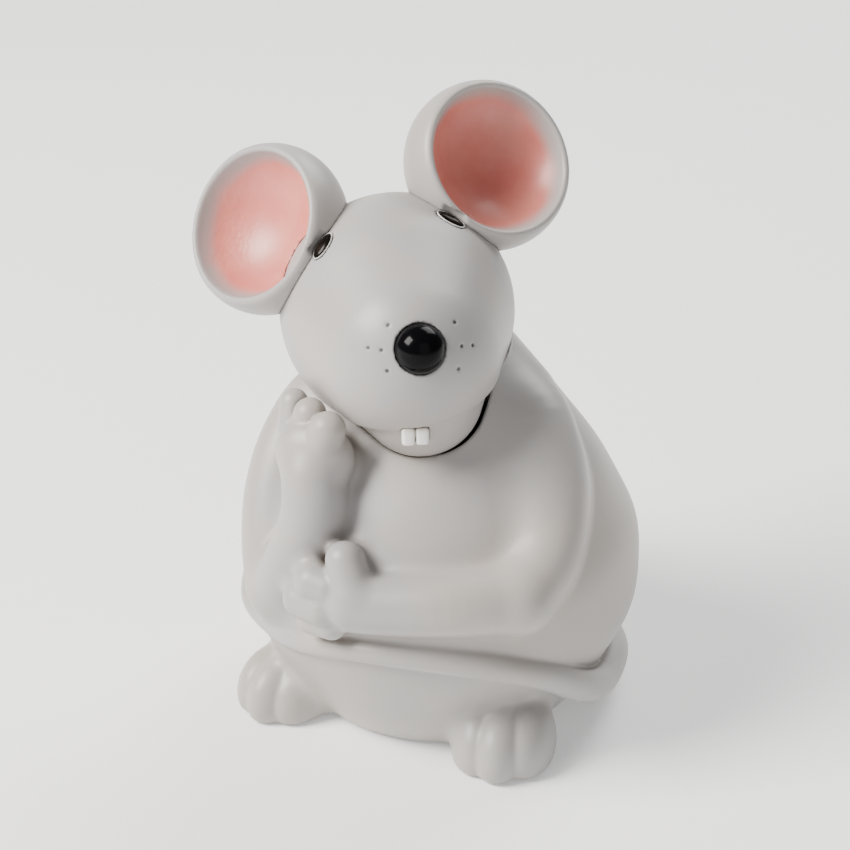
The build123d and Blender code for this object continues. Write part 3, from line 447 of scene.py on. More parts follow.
fine_z = np.linspace(0, 114, 1141)
bends = natural_slopes(PEAR_HEIGHTS, PEAR_RADII)
part = np.clip(np.searchsorted(PEAR_HEIGHTS, fine_z, "right") - 1, 0, len(bends) - 2)
gap = np.diff(PEAR_HEIGHTS)[part]
t0, t1 = PEAR_HEIGHTS[part + 1] - fine_z, fine_z - PEAR_HEIGHTS[part]
fine_r = ((bends[part] * t0 ** 3 + bends[part + 1] * t1 ** 3) / (6 * gap)
          + (PEAR_RADII[part] / gap - bends[part] * gap / 6) * t0
          + (PEAR_RADII[part + 1] / gap - bends[part + 1] * gap / 6) * t1)
fine_slope = np.gradient(fine_r, fine_z)


def pear(p):
    r = np.hypot(p[:, 0], p[:, 1] - PEAR_Y)
    z = np.clip(p[:, 2], 0, 114)
    slope = np.interp(z, fine_z, fine_slope)
    return (r - np.interp(z, fine_z, fine_r)) / np.sqrt(1 + slope * slope)


print("widest radius", round(float(fine_r.max()), 2), "mm")

# %% [markdown]
# Each limb is a list of stations, a place and a radius, as a wire armature would be bent before the
# clay goes on. The mouse sits thinking: one fist is up at the cheek and the other arm lies across
# the belly, so the two forearms are what give the pose.

# %% Limbs
TAIL = [(4, 44, 8.5, 6.2), (17, 51, 8, 5.9), (33, 42, 8, 5.5), (45.5, 25, 9.5, 5.2),
        (51, 2, 12.5, 5.0), (52, -16, 20, 4.8), (46.8, -29.3, 29, 4.5), (37.5, -41.9, 36.2, 4.1),
        (26.3, -49.7, 39.6, 3.8), (13.4, -54.6, 40.8, 3.5), (-1, -56.2, 40.2, 3.3),
        (-17.8, -52.6, 36.2, 3.1), (-31.2, -44.4, 33.5, 3.0), (-46, -32, 33.5, 2.8),
        (-54, -14, 37, 2.6), (-57, 4, 42, 2.4)]
LEFT_ARM = [(24, 1, 96, 9), (33, -6, 93, 9.8), (40.5, -14, 78.5, 10.3), (43.5, -25, 65, 10.3),
            (41.5, -38, 56.8, 9.5)]
LEFT_FOREARM = [(41, -39, 57, 9.5), (26, -50, 57, 8.6), (8, -56.5, 56, 8), (1, -58, 56, 8)]
RIGHT_ARM = [(-27, -5, 96, 9), (-32.5, -13, 90.5, 10.3), (-36, -22.5, 80, 10.4),
             (-36.5, -30.5, 68, 10.2), (-34.5, -37.5, 56.5, 9.5), (-32, -41.5, 46, 8.8)]
RIGHT_FOREARM = [(-30, -43, 46, 8.9), (-21.5, -49, 60, 9), (-16, -49.5, 75, 8.8),
                 (-17, -46.5, 86, 8.8)]
LEFT_THUMB = [(1, -58.5, 58, 6.8), (-2.5, -56.5, 67.5, 5.4)]
LEFT_FINGERS = [[(-6, -60, 60, 5.2), (-10.5, -59.5, 60.5, 5.6)],
                [(-7, -61, 54, 5.2), (-15, -59, 54, 5.0)],
                [(-5, -60, 48.8, 4.3), (-12, -58.5, 48.2, 4.2)]]
RIGHT_FINGERS = [[(-27, -39, 95, 4.2), (-28, -36, 101.5, 4.0)],
                 [(-21.5, -42, 95, 4.8), (-20.5, -41, 101.5, 4.6)],
                 [(-15.5, -46, 92.5, 5.4), (-13, -45, 100, 5.0)]]
LEFT_PALM = ((-1.5, -57.8, 56.5), (9.0, 6.4, 8.6))
RIGHT_PALM = ((-18.2, -43.6, 91), (11.2, 8.2, 10.2))
TOES = [((-6.3, -32.5, 6), (8.5, 14, 12.4)), ((0, -34, 6.2), (8.6, 15.2, 13)),
        ((6.3, -31.5, 6), (8.5, 14, 12.4))]
# how far each foot is from the middle, its splay and its size beside the other
FEET = [(28.0, 12.0, 1.0), (-28.0, -12.0, 0.94)]


def hand(p, palm, fingers, thumb=None):
    d = egg(p, *palm)
    if thumb:
        d = soft_join(d, limb(p, thumb), 3)
    for finger in fingers:
        d = soft_join(d, limb(p, finger), 0.8)
    return d


def foot(p, across, splay, size):
    axes = turn_about(2, splay)
    d = None
    for at, radii in TOES:
        at = (at[0] * size, at[1], at[2] * size)
        toe = egg(p, np.array((across, 0, 0)) + axes @ np.array(at), np.array(radii) * size, axes)
        d = toe if d is None else soft_join(d, toe, 0.9)
    return d


def figure(p):
    """The outside of the moulding, with no head and no hollow."""
    d = pear(p)
    left = soft_join(limb(p, LEFT_ARM), limb(p, LEFT_FOREARM), 3)
    left = soft_join(left, hand(p, LEFT_PALM, LEFT_FINGERS, LEFT_THUMB), 2.2)
    right = soft_join(limb(p, RIGHT_ARM), limb(p, RIGHT_FOREARM), 3)
    right = soft_join(right, hand(p, RIGHT_PALM, RIGHT_FINGERS), 2.5)
    rise = np.clip((p[:, 2] - 58) / 32, 0, 1)      # 0 at the forearm, 1 at the shoulder
    d = soft_join(d, left, 3 + 8 * rise ** 2 * (3 - 2 * rise))
    d = soft_join(d, right, 5 + 5 * np.clip((p[:, 2] - 74) / 22, 0, 1) ** 2)
    for across, splay, size in FEET:
        d = soft_join(d, foot(p, across, splay, size), 5.0)
    return soft_join(d, limb(p, TAIL), 1.1)


TAIL, LEFT_ARM, LEFT_FOREARM, RIGHT_ARM, RIGHT_FOREARM = map(
    bent, (TAIL, LEFT_ARM, LEFT_FOREARM, RIGHT_ARM, RIGHT_FOREARM))
print("stations along the tail:", len(TAIL))

# %% [markdown]
# ## Inside the body
# The moulding is a shell with a round hole underneath, three screw posts, a key hole in the back and
# a cup on top. The cup is the room that the head sweeps as it turns, so it is cut by the head's own
# form at several angles, with a small clearance. A cup cut for one angle would bite into the head at
# the next. A Solidify modifier would give the wall, but not the posts or the cup.

# %% The body's skin
CLEAR, SWING, TEETH_ROOM = 0.2, 3.0, 0.6    # round the head, how far it turns, round the teeth
FLOOR_Z, PLATE_TOP, OPENING_R = 0.6, 4.4, 34.6
POST_OUT, POST_R, POST_TOP = 30.0, 3.4, 14.0
POST_ANGLES = (90, 210, 330)
KEY_HOLE = ((-13.0, 40.0), 4.4)


def head_sweep(p):
    d = length(p - HEAD_CENTRE) - HEAD_R - 0.2
    flat = HEAD_CENTRE * (1, 1, 0)
    for angle in np.linspace(0, SWING, 5):
        back = (p - flat) @ turn_about(2, angle) + flat
        q = (back - TEETH_AT) @ TEETH_AXES
        d = np.minimum(d, head_mass(back))
        d = np.minimum(d, np.maximum(TEETH_LOW - q, q - TEETH_HIGH).max(1) - TEETH_ROOM)
    return d - CLEAR


def body_field(p):
    d = soft_cut(figure(p), p[:, 2] - FLOOR_Z, 1.6)
    wall = pear(p) + SHELL
    hollow = np.maximum(wall, 5 - p[:, 2])
    hollow = np.minimum(hollow, cylinder(p, 2, (0, PEAR_Y), OPENING_R, PLATE_TOP, 12))
    hollow = np.maximum(hollow, -(length(p - HEAD_CENTRE) - HEAD_R - 0.7 - SHELL))
    hollow = np.maximum(hollow, -cylinder(p, 2, HEAD_CENTRE[:2], FELT_R + 3.5, BOSS_LOW, SEAT_Z + 6))
    d = np.maximum(d, -hollow)
    low = p[:, 2] < 20
    q = p[low]
    posts = d[low]
    for angle in POST_ANGLES:
        a = math.radians(angle)
        away = np.array((math.cos(a), math.sin(a)))
        x, y = away * POST_OUT + (0, PEAR_Y)
        post = cylinder(q, 2, (x, y), POST_R, PLATE_TOP, POST_TOP)
        run, side = (q[:, :2] - (x, y)) @ away, (q[:, :2] - (x, y)) @ (-away[1], away[0])
        rib = np.maximum(np.abs(side) - 1.2, np.maximum(-run, pear(q) + 1))
        rib = np.maximum(rib, np.maximum(PLATE_TOP - q[:, 2], q[:, 2] - POST_TOP))
        posts = np.minimum(posts, np.minimum(post, rib))
        posts = np.maximum(posts, -cylinder(q, 2, (x, y), 1.55, PLATE_TOP - 1, POST_TOP - 1))
    d[low] = posts
    d = np.maximum(d, -cylinder(p, 2, (0, PEAR_Y), OPENING_R, -2, PLATE_TOP))
    high = p[:, 2] > 76
    q = p[high]
    cup = np.minimum(head_sweep(q), cylinder(q, 2, HEAD_CENTRE[:2], FELT_R + 0.6, SEAT_Z, SEAT_Z + 9))
    cup = np.minimum(cup, cylinder(q, 2, HEAD_CENTRE[:2], NECK_R + 0.05, BOSS_LOW - 1, SEAT_Z + 1))
    d[high] = soft_cut(d[high], cup, 0.5)
    return soft_cut(d, cylinder(p, 1, KEY_HOLE[0], KEY_HOLE[1], 29, 73), 0.8)


verts, quads = net(body_field, (-64, -72, -2), (66, 64, 118), 0.72 * FINE)
body = skin_object("body", verts, quads, shelter=shelter(figure, verts))
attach(body, "body")
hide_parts("body_shell")

# %% [markdown]
# ## The ears
# Each ear is a thick round bowl that opens forwards, with a rim as fat as a finger and a shallow
# dish inside. A lathed bowl would be quick, but the rim of the real one is soft all the way into the
# dish. An egg cut flat and then hollowed by a second egg gives that rim for free. Distance from the
# middle of the dish is stored on the mesh, because the pink is sprayed from there.

# %% The ears' skins
# each ear's middle on the head, then how far it turns out and tips back
EARS = {"left": ((34.4, 8.0, 32.0), 29.5, -18.5), "right": ((-29.3, 8.0, 29.7), -41.1, -29.6)}
EAR_RADII, DISH_RADII, DISH_OUT = (24.3, 20.0, 24.3), (21.05, 15.7, 21.05), 10.2
EAR_FACE, EAR_RIM, LIP = 8.2, 2.0, 1.4
EYE_ROOM, EYE_ROOM_DEEP = 0.5, 2.2          # what an ear leaves free round an eye


def ear_place(side):
    at, out, tip = EARS[side]
    return on_head(*at), HEAD_AXES @ turn_about(2, out) @ turn_about(0, tip)


def ear_field(side):
    centre, axes = ear_place(side)
    facing = axes @ np.array((0.0, -1.0, 0.0))

    def field(p):
        d = egg(p, centre, EAR_RADII, axes)
        d = -soft_join(-d, EAR_FACE - (p - centre) @ facing, EAR_RIM)
        d = soft_cut(d, egg(p, centre + facing * DISH_OUT, DISH_RADII, axes), LIP)
        across, out = oval(p, side, EYE_ROOM)
        d = soft_cut(d, np.maximum(across, np.abs(out) - EYE_ROOM_DEEP), 0.3)
        return np.maximum(d, -head_mass(p))
    return field


for name in EARS:
    centre, axes = ear_place(name)
    field = ear_field(name)
    verts, quads = net(field, centre - 30, centre + 30, 0.65 * FINE)
    q = (verts - centre) @ axes
    in_dish = egg(verts, centre - axes[:, 1] * DISH_OUT, DISH_RADII, axes) < 1.2
    ear = skin_object(f"ear_{name}_skin", verts, quads, shelter=0.6 * shelter(field, verts),
                      spray=np.clip(1 - length(q[:, [0, 2]]) / DISH_RADII[0], 0, 1) * in_dish,
                      across=q[:, 0] / DISH_RADII[0])
    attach(ear, "head")
    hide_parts(f"ear_{name}")

# %% [markdown]
# ## Eyes
# An eye is a dark oval lens set in a pocket, with a thin pale ring where it meets the paint. A
# squashed UV sphere would show its poles and sit on the skin like a bead. These are swept: rings of
# points follow the oval, from the rim inwards over a low dome, and a second small ring makes the
# rounded surround.

# %% Lenses and their rims
AROUND = 48


def swept(name, at, axes, outline, closed_top):
    """Rings round the eye's oval. outline gives (grow, height) for each ring."""
    a = np.linspace(0, 2 * math.pi, AROUND, endpoint=False)
    rings = []
    for grow, height in outline:
        rx, ry = EYE_OVAL[0] + grow, EYE_OVAL[1] + grow * EYE_OVAL[1] / EYE_OVAL[0]
        rings.append(at + np.outer(np.cos(a) * rx, axes[:, 0]) + np.outer(np.sin(a) * ry, axes[:, 1])
                     + height * axes[:, 2])
    verts = np.concatenate(rings)
    faces = []
    pairs = len(rings) - 1 if closed_top else len(rings)
    for r in range(pairs):
        nxt = (r + 1) % len(rings)
        for i in range(AROUND):
            j = (i + 1) % AROUND
            faces.append((r * AROUND + i, r * AROUND + j, nxt * AROUND + j, nxt * AROUND + i))
    if closed_top:
        faces.append(tuple(range((len(rings) - 1) * AROUND, len(rings) * AROUND)))
        faces.append(tuple(reversed(range(AROUND))))
    mesh = bpy.data.meshes.new(name)
    mesh.from_pydata((verts * MM).tolist(), [], faces)
    mesh.polygons.foreach_set("use_smooth", [len(f) == 4 for f in faces])
    mesh.update()
    made = bpy.data.objects.new(name, mesh)
    bpy.context.scene.collection.objects.link(made)
    return made


DOME = [(-0.2, -1.2), (0.0, -0.25)] + [(-EYE_OVAL[0] * (1 - math.cos(t)), -0.25 + 1.05 * math.sin(t))
                                      for t in np.linspace(0.15, 1.5, 10)]
RIM = [(0.17 + 0.15 * math.cos(t), -0.12 + 0.22 * math.sin(t))
       for t in np.linspace(0, 2 * math.pi, 12, endpoint=False)]
for side, (at, axes) in EYES.items():
    lens = swept(f"eye_{side}_lens", at, axes, DOME, True)
    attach(lens, "head")
    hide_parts(f"eye_{side}")
    rim = swept(f"eye_{side}_rim", at, axes, RIM, False)
    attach(rim, "head")
print("eyes at", {s: np.round(a[0], 1).tolist() for s, a in EYES.items()})

# %% [markdown]
# ## Teeth
# Two front teeth hang from the upper lip, in a frame that hangs straighter than the head. They are
# flat tiles with soft corners and a fine line between them. Two bevelled cubes would do in shape, but
# their faces would be dead flat; a small grid bent slightly outwards catches the light the way enamel
# does.

# %% Two front teeth
TOOTH_GAP, TOOTH_SOFT = 0.22, 0.85


def teeth_field(p):
    q = (p - TEETH_AT) @ TEETH_AXES
    middle, half = (TEETH_LOW + TEETH_HIGH) / 2, (TEETH_HIGH - TEETH_LOW) / 2
    half_tooth = np.array(((half[0] - TOOTH_GAP / 2) / 2, half[1], half[2]))
    d = None
    for way in (-1, 1):
        w = q - middle - (way * (half_tooth[0] + TOOTH_GAP / 2), 0, 0)
        crown = 0.25 * (1 - (w[:, 0] / half_tooth[0]) ** 2)
        w[:, 1] += (crown - 0.25) * (w[:, 1] < 0)
        out = np.abs(w) - half_tooth + TOOTH_SOFT
        tooth = length(np.maximum(out, 0)) + np.minimum(out.max(1), 0) - TOOTH_SOFT
        d = tooth if d is None else np.minimum(d, tooth)
    bridge = np.abs(q - middle - (0, 0.7, 0)) - (half[0] - 0.5, half[1] - 0.8, half[2] - 0.4)
    return np.minimum(d, bridge.max(1))


ends = list(zip(TEETH_LOW, TEETH_HIGH))
corner = np.array([(x, y, z) for x in ends[0] for y in ends[1] for z in ends[2]])
corner = corner @ TEETH_AXES.T + TEETH_AT
verts, quads = net(teeth_field, corner.min(0) - 1, corner.max(0) + 1, 0.2 * FINE)
root = ((verts - TEETH_AT) @ TEETH_AXES)[:, 2] / -TEETH_LOW[2] + 1
teeth = skin_object("front_teeth", verts, quads, shelter=shelter(teeth_field, verts),
                    root=np.clip(root, 0, 1))
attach(teeth, "head")
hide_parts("teeth")

# %% [markdown]
# ## Writing shaders as sums
# A shader is easier to read as an expression than as boxes and wires. The class below wraps one
# output socket. Arithmetic on it adds Math nodes behind the scenes, and `node` adds any other kind
# of node. Colours are mixed with a Mix node, because a Math node would turn them grey.

# %% One class for node expressions
class Flow:
    """An output socket that can be used in arithmetic."""

    def __init__(self, tree, socket):
        self.tree, self.socket = tree, socket

    def node(self, kind, settings=None, inputs=None, out=0):
        made = self.tree.nodes.new("ShaderNode" + kind)
        for key, value in (settings or {}).items():
            if key == "stops":
                ramp = made.color_ramp
                while len(ramp.elements) < len(value):
                    ramp.elements.new(0.5)
                for stop, (place, colour) in zip(ramp.elements, value):
                    stop.position, stop.color = place, (*colour, 1)
            else:
                setattr(made, key, value)
        for key, value in (inputs or {}).items():
            if isinstance(value, Flow):
                self.tree.links.new(value.socket, made.inputs[key])
            else:
                made.inputs[key].default_value = value
        return Flow(self.tree, made.outputs[out])

    def maths(self, operation, *values, clamp=False):
        return self.node("Math", {"operation": operation, "use_clamp": clamp},
                         dict(enumerate(values)))

    def __add__(self, other): return self.maths("ADD", self, other)
    def __radd__(self, other): return self.maths("ADD", other, self)
    def __sub__(self, other): return self.maths("SUBTRACT", self, other)
    def __rsub__(self, other): return self.maths("SUBTRACT", other, self)
    def __mul__(self, other): return self.maths("MULTIPLY", self, other)
    def __rmul__(self, other): return self.maths("MULTIPLY", other, self)
    def __pow__(self, other): return self.maths("POWER", self, other)

    def held(self):
        """The same value kept between 0 and 1."""
        return self.maths("ADD", self, 0.0, clamp=True)

    def between(self, low, high):
        """0 below low, 1 above high, eased in between."""
        return self.node("MapRange", {"interpolation_type": "SMOOTHSTEP"},
                         {"Value": self, "From Min": low, "From Max": high})

    def tint(self, first, second):
        """First colour where this is 0, second where it is 1. Either may be a Flow."""
        pair = [c if isinstance(c, Flow) else (*c, 1) for c in (first, second)]
        return self.node("Mix", {"data_type": "RGBA"}, {0: self, 6: pair[0], 7: pair[1]}, 2)

    def noise(self, scale, detail=3.0, rough=0.55, stretch=None):
        """Noise in metres: scale is how many lumps fit in one metre."""
        place = self
        if stretch:
            place = self.node("VectorMath", {"operation": "MULTIPLY"}, {0: self, 1: stretch})
        return place.node("TexNoise", {}, {"Vector": place, "Scale": scale, "Detail": detail,
                                           "Roughness": rough})

    def cells(self, scale, feature="F1"):
        return self.node("TexVoronoi", {"feature": feature}, {"Vector": self, "Scale": scale})

    def bump(self, strength, distance):
        return self.node("Bump", {}, {"Height": self, "Strength": strength, "Distance": distance})


def finish(name, **fixed):
    """A new material: its shader, with constants set straight on the sockets, and object places."""
    material = bpy.data.materials.new(name)
    material.use_nodes = True
    shader = material.node_tree.nodes["Principled BSDF"]
    for socket, value in fixed.items():
        shader.inputs[socket.replace("_", " ")].default_value = value
    start = Flow(material.node_tree, None)
    return material, shader, start.node("TexCoord", out=3)


def feed(shader, **flows):
    for socket, flow in flows.items():
        flow.tree.links.new(flow.socket, shader.inputs[socket.replace("_", " ")])


def stored(place, name):
    """A value that was written on the mesh."""
    return place.node("Attribute", {"attribute_name": name}, out=2)


print("shader helpers ready")

# %% [markdown]
# ## Grey paint
# The mouse is sprayed a warm light grey over the moulding, and broad patches drift between warm and
# cool. The creases are painted darker from the stored shelter value, which is painted shade. The
# surface is satin, with a faint orange peel and a few tiny pits where air escaped, each pit painted
# dark as painted shade. A single grey with even gloss looks like plastic sheet; three scales of noise
# make it look sprayed.

# %% The grey paint
# the third colour is painted shade, the dark that the creases are painted towards
WARM, COOL, CREASE_SHADE = (0.385, 0.352, 0.322), (0.356, 0.345, 0.346), (0.185, 0.162, 0.142)


def pits(place, scale, rarity):
    """1 in a few tiny round pits, 0 elsewhere."""
    distance = place.cells(scale)
    pick = place.noise(scale / 9, 1.0).between(rarity, rarity + 0.03)
    return (1 - distance.between(0.04, 0.09)) * pick


def pricked(place):
    """1 in the whisker pricks, 0 elsewhere."""
    dark = 0
    for prick in PRICKS:
        away = place.node("VectorMath", {"operation": "DISTANCE"}, {0: place, 1: tuple(prick * MM)}, 1)
        dark = dark + (1 - away.between(0.4 * MM, 0.75 * MM))
    return dark


def grey_coat(place):
    """Colour, roughness and height of the sprayed grey."""
    patches = place.noise(26, 3.0).between(0.36, 0.64)
    colour = patches.tint(WARM, COOL)
    cloud = place.noise(9, 2.0).between(0.3, 0.7)
    colour = (cloud * 0.35).tint(colour, (0.400, 0.376, 0.342))
    # painted shade: the paint darkens where the form closes over it, in creases and between parts
    dark = stored(place, "shelter").between(0.30, 0.95) * 0.75
    colour = dark.held().tint(colour, CREASE_SHADE)
    # painted shade: each tiny pit is painted dark as well as dented in the bump
    speck = pits(place, 170, 0.66)
    colour = (speck * 0.75).tint(colour, (0.10, 0.09, 0.08))
    rough = 0.40 + place.noise(60, 2.0) * 0.12 + dark * 0.15
    height = place.noise(900, 2.0) * 0.35 + place.noise(170, 2.0) * 0.8 - speck * 2.2
    return colour, rough, height


paint, shader, place = finish("grey_paint", Coat_Weight=0.10, Coat_Roughness=0.28)
colour, rough, height = grey_coat(place)
# painted shade: the whisker pricks are painted near black
colour = (pricked(place) * 0.9).held().tint(colour, (0.030, 0.026, 0.024))
feed(shader, Base_Color=colour, Roughness=rough, Normal=height.bump(0.35, 0.00012))
print("made", paint.name)

# %% [markdown]
# ## Pink in the ears
# The pink is sprayed into the dish with a small gun: strong in the middle, gone before the rim, and
# slightly uneven because the gun moved. A colour ramp on plain distance would give a perfect target,
# so the edge is pushed about by noise. The paint there is thicker and has dried pebbly on one side.

# %% The ear paint
ear_paint, shader, place = finish("ear_paint", Coat_Weight=0.12, Coat_Roughness=0.25)
colour, rough, height = grey_coat(place)
spray = stored(place, "spray") + (place.noise(55, 2.0) - 0.5) * 0.16
strength = spray.between(0.02, 0.17)
pink = place.noise(80, 3.0).between(0.3, 0.7).tint((0.640, 0.160, 0.125), (0.690, 0.215, 0.165))
colour = (strength * 0.93).tint(colour, pink)
pebble_area = stored(place, "across").between(-0.15, -0.75) * strength
pebbles = place.cells(650) * pebble_area
feed(shader, Base_Color=colour, Roughness=rough - strength * 0.06,
     Normal=(height + pebbles * 1.6).bump(0.45, 0.00014))
print("made", ear_paint.name)

# %% [markdown]
# ## Gloss black, dark lenses and enamel
# The nose is dipped in black lacquer, the eyes are cast from a very dark brown resin, and the teeth
# are enamelled. All three are glossy, and perfect gloss is what gives a render away, so each has a
# thin film of dust or a slight waviness that breaks the highlight.

# %% Nose, eyes, teeth and rims
lacquer, shader, place = finish("black_lacquer", Coat_Weight=0.03, Coat_Roughness=0.05,
                                Specular_IOR_Level=0.06)
dust = place.cells(900).between(0.10, 0.03) * place.noise(120, 2.0).between(0.55, 0.7)
feed(shader, Base_Color=(dust * 0.4).held().tint((0.002, 0.002, 0.0025), (0.035, 0.033, 0.032)),
     Roughness=0.10 + place.noise(90, 3.0) * 0.10, Normal=place.noise(260, 2.0).bump(0.10, 0.0001))

lens_resin, shader, place = finish("dark_lens", Coat_Weight=0.03, Coat_Roughness=0.06,
                                   Specular_IOR_Level=0.08)
feed(shader, Base_Color=place.noise(420, 3.0).between(0.35, 0.7).tint(
         (0.005, 0.004, 0.003), (0.014, 0.009, 0.007)),
     Roughness=0.12 + place.noise(300, 2.0) * 0.10, Normal=place.noise(500, 2.0).bump(0.08, 0.0001))

enamel, shader, place = finish("tooth_enamel", Coat_Weight=0.6, Coat_Roughness=0.10)
# darker and browner towards the root, and painted shade in the creases from the stored shelter value
root_darkening_and_crease_shade = (stored(place, "root").between(0.55, 1.0) * 0.6
         + stored(place, "shelter").between(0.3, 0.9) * 0.5).held()
feed(shader, Base_Color=root_darkening_and_crease_shade.tint(place.noise(300, 2.0).tint((0.86, 0.85, 0.82), (0.80, 0.79, 0.76)),
                                   (0.62, 0.57, 0.49)),
     Roughness=0.22 + place.noise(400, 2.0) * 0.12, Normal=place.noise(600, 2.0).bump(0.15, 0.0001))

rim_paint, shader, place = finish("rim_paint", Coat_Weight=0.4, Coat_Roughness=0.12)
feed(shader, Base_Color=place.noise(700, 2.0).between(0.3, 0.7).tint((0.78, 0.77, 0.75),
                                                                     (0.60, 0.59, 0.57)),
     Roughness=0.25 + place.noise(500, 2.0) * 0.15, Normal=place.noise(900, 2.0).bump(0.2, 0.0001))
print("made four gloss finishes")

# %% [markdown]
# ## Metals
# The movement is a mix of stamped brass, cut steel and a cast block. Brass dulls to brown in patches
# and brightens on edges, steel carries fine lines from the abrasive, and a casting has grain all
# over. Lines are noise squeezed hard in one direction. Anisotropy would suit turned steel, but it
# can't vary over the surface when the model is exported, so the lines are in the bump.

# %% Brass, steel and the casting
brass, shader, place = finish("satin_brass", Metallic=1.0)
tarnish = place.noise(140, 5.0, 0.6).between(0.42, 0.72)
lines = place.noise(500, 2.0, stretch=(1.0, 1.0, 14.0))
feed(shader, Base_Color=tarnish.tint((0.72, 0.50, 0.20), (0.42, 0.25, 0.09)),
     Roughness=0.26 + tarnish * 0.22 + lines * 0.08, Normal=lines.bump(0.12, 0.00006))

steel, shader, place = finish("brushed_steel", Metallic=1.0)
lines = place.noise(420, 3.0, stretch=(16.0, 1.0, 1.0))
haze = place.noise(90, 3.0)
feed(shader, Base_Color=haze.tint((0.62, 0.62, 0.63), (0.46, 0.46, 0.48)),
     Roughness=0.24 + lines * 0.14 + haze * 0.06, Normal=lines.bump(0.12, 0.00005))

casting, shader, place = finish("zinc_casting", Metallic=1.0)
grain = place.noise(1400, 4.0, 0.7)
feed(shader, Base_Color=place.noise(110, 3.0).tint((0.38, 0.38, 0.39), (0.27, 0.27, 0.28)),
     Roughness=0.44 + grain * 0.18, Normal=grain.bump(0.35, 0.00008))
print("made three metals")

# %% [markdown]
# ## Felt and moulded plastic
# The pads are pressed felt: short fibres lying every way, so two stretched noises cross each other.
# Hair particles would be truer close up, but the pads are seen only from below. The base plate and
# the little air brake are moulded plastic with a spark-eroded grain.

# %% Felt, base plate and fan
def felt(name, dark, light):
    made, shader, place = finish(name, Sheen_Weight=0.35, Sheen_Roughness=0.5)
    fibres = (place.noise(1100, 3.0, stretch=(5.0, 1.0, 1.0))
              + place.noise(1100, 3.0, stretch=(1.0, 5.0, 1.0))) * 0.5
    feed(shader, Base_Color=fibres.between(0.35, 0.65).tint(dark, light),
         Roughness=0.86 + fibres * 0.1, Normal=fibres.bump(0.7, 0.0003))
    return made


def moulded(name, first, second, grain_size):
    made, shader, place = finish(name)
    grain = place.cells(grain_size, "SMOOTH_F1")
    feed(shader, Base_Color=place.noise(40, 3.0).between(0.3, 0.7).tint(first, second),
         Roughness=0.46 + grain * 0.16, Normal=grain.bump(0.3, 0.00008))
    return made


FINISHES = {
    "paint": paint, "ear": ear_paint, "eye": lens_resin, "nose": lacquer, "teeth": enamel,
    "steel": steel, "brass": brass, "zinc": casting,
    "felt": felt("neck_felt", (0.060, 0.060, 0.066), (0.110, 0.110, 0.120)),
    "base_felt": felt("base_felt", (0.026, 0.028, 0.031), (0.060, 0.063, 0.068)),
    "base": moulded("base_plastic", (0.43, 0.41, 0.39), (0.39, 0.375, 0.36), 1500),
    "fan": moulded("fan_plastic", (0.70, 0.68, 0.62), (0.64, 0.62, 0.56), 2200),
}
print("finishes:", ", ".join(FINISHES))

# %% [markdown]
# ## Giving each piece its finish
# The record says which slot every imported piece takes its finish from, so one loop can dress them
# all. The new skins and the eye rims are dressed by name. Doing it by slot means that a piece added
# to the model later is never left bare.

# %% Dress the pieces
slot_of = {part["node"]: part["material_slot"] for part in frame["record"]["subparts"]}


def dress(piece, material):
    piece.data.materials.clear()
    piece.data.materials.append(material)


for node, piece in frame["nodes"].items():
    dress(piece, FINISHES[slot_of[node]])
for piece in (body, head):
    dress(piece, paint)
dress(teeth, enamel)
for side in ("left", "right"):
    dress(bpy.data.objects[f"ear_{side}_skin"], ear_paint)
    dress(bpy.data.objects[f"eye_{side}_lens"], lens_resin)
    dress(bpy.data.objects[f"eye_{side}_rim"], rim_paint)

# %% [markdown]
# ## Floor and light
# The toy stands on a pale sweep: a floor that curves up behind it, so there is no horizon line. The
# light is a plain studio set of three large soft lamps, the key from upper left of the camera. A
# single hard lamp would sharpen the shadow, and an image of a room would put a room in the nose.

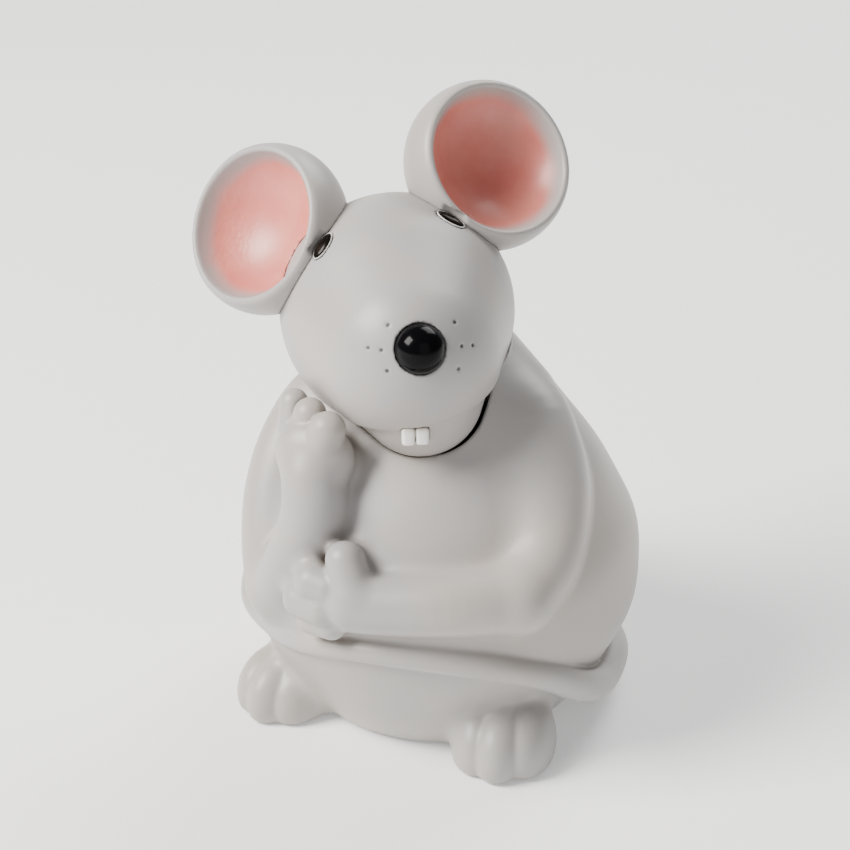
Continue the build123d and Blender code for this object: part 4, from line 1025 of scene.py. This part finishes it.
# %% The sweep
SWEEP_HALF, SWEEP_BACK, SWEEP_BEND, SWEEP_TOP = 2.2, 1.3, 0.7, 2.2
profile = [(-2.5, 0.0), (SWEEP_BACK, 0.0)]
profile += [(SWEEP_BACK + SWEEP_BEND * math.sin(a), SWEEP_BEND * (1 - math.cos(a)))
            for a in np.linspace(0.1, math.pi / 2, 14)]
profile += [(SWEEP_BACK + SWEEP_BEND, SWEEP_TOP)]
ahead = Vector((-math.sin(CAMERA_TURN), math.cos(CAMERA_TURN), 0))
aside = Vector((ahead.y, -ahead.x, 0))
rows = [[tuple(ahead * y + aside * x + Vector((0, 0, z))) for x in (-SWEEP_HALF, SWEEP_HALF)]
        for y, z in profile]
mesh = bpy.data.meshes.new("sweep")
mesh.from_pydata([v for row in rows for v in row], [],
                 [(2 * i, 2 * i + 1, 2 * i + 3, 2 * i + 2) for i in range(len(rows) - 1)])
mesh.polygons.foreach_set("use_smooth", [True] * len(mesh.polygons))
sweep = bpy.data.objects.new("sweep", mesh)
bpy.context.scene.collection.objects.link(sweep)
card, shader, place = finish("white_card", Emission_Color=(1, 1, 1, 1), Emission_Strength=0.28)
feed(shader, Base_Color=place.noise(3.0, 2.0).tint((0.93, 0.93, 0.93), (0.90, 0.90, 0.90)),
     Roughness=0.85 + place.noise(40, 2.0) * 0.1)
dress(sweep, card)
sweep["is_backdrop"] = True
print("sweep has", len(mesh.polygons), "faces")

# %% Three soft lamps and the room
LAMPS = [("key", (-0.80, -0.75, 1.05), 0.70, 56.0, (1.0, 0.965, 0.92)),
         ("fill", (0.95, -0.85, 0.60), 1.1, 2.5, (0.965, 0.98, 1.0)),
         ("back", (0.20, 1.1, 1.25), 0.9, 22.0, (1.0, 1.0, 1.0))]
for name, spot, size, power, tint in LAMPS:
    data = bpy.data.lights.new(name, "AREA")
    data.shape, data.size, data.energy, data.color = "SQUARE", size, power, tint
    lamp = bpy.data.objects.new(name, data)
    lamp.location = spot
    lamp.rotation_mode = "QUATERNION"
    lamp.rotation_quaternion = (CAMERA_TARGET - Vector(spot)).to_track_quat("-Z", "Y")
    bpy.context.scene.collection.objects.link(lamp)
room = bpy.data.worlds.new("room")
room.use_nodes = True
room.node_tree.nodes["Background"].inputs["Color"].default_value = (1.0, 1.0, 1.0, 1)
room.node_tree.nodes["Background"].inputs["Strength"].default_value = 0.19
bpy.context.scene.world = room
print("lamps:", [lamp[0] for lamp in LAMPS])

# %% [markdown]
# ## Last look at the size
# The skins are meant to fill the same box as the imported model, so the two boxes are printed side
# by side.

# %% Print the sizes
seen_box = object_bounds()
for label, box in (("packed", cad_box), ("seen", seen_box)):
    print(label, [round((b - a) * 1000, 1) for a, b in zip(*box)], "mm")
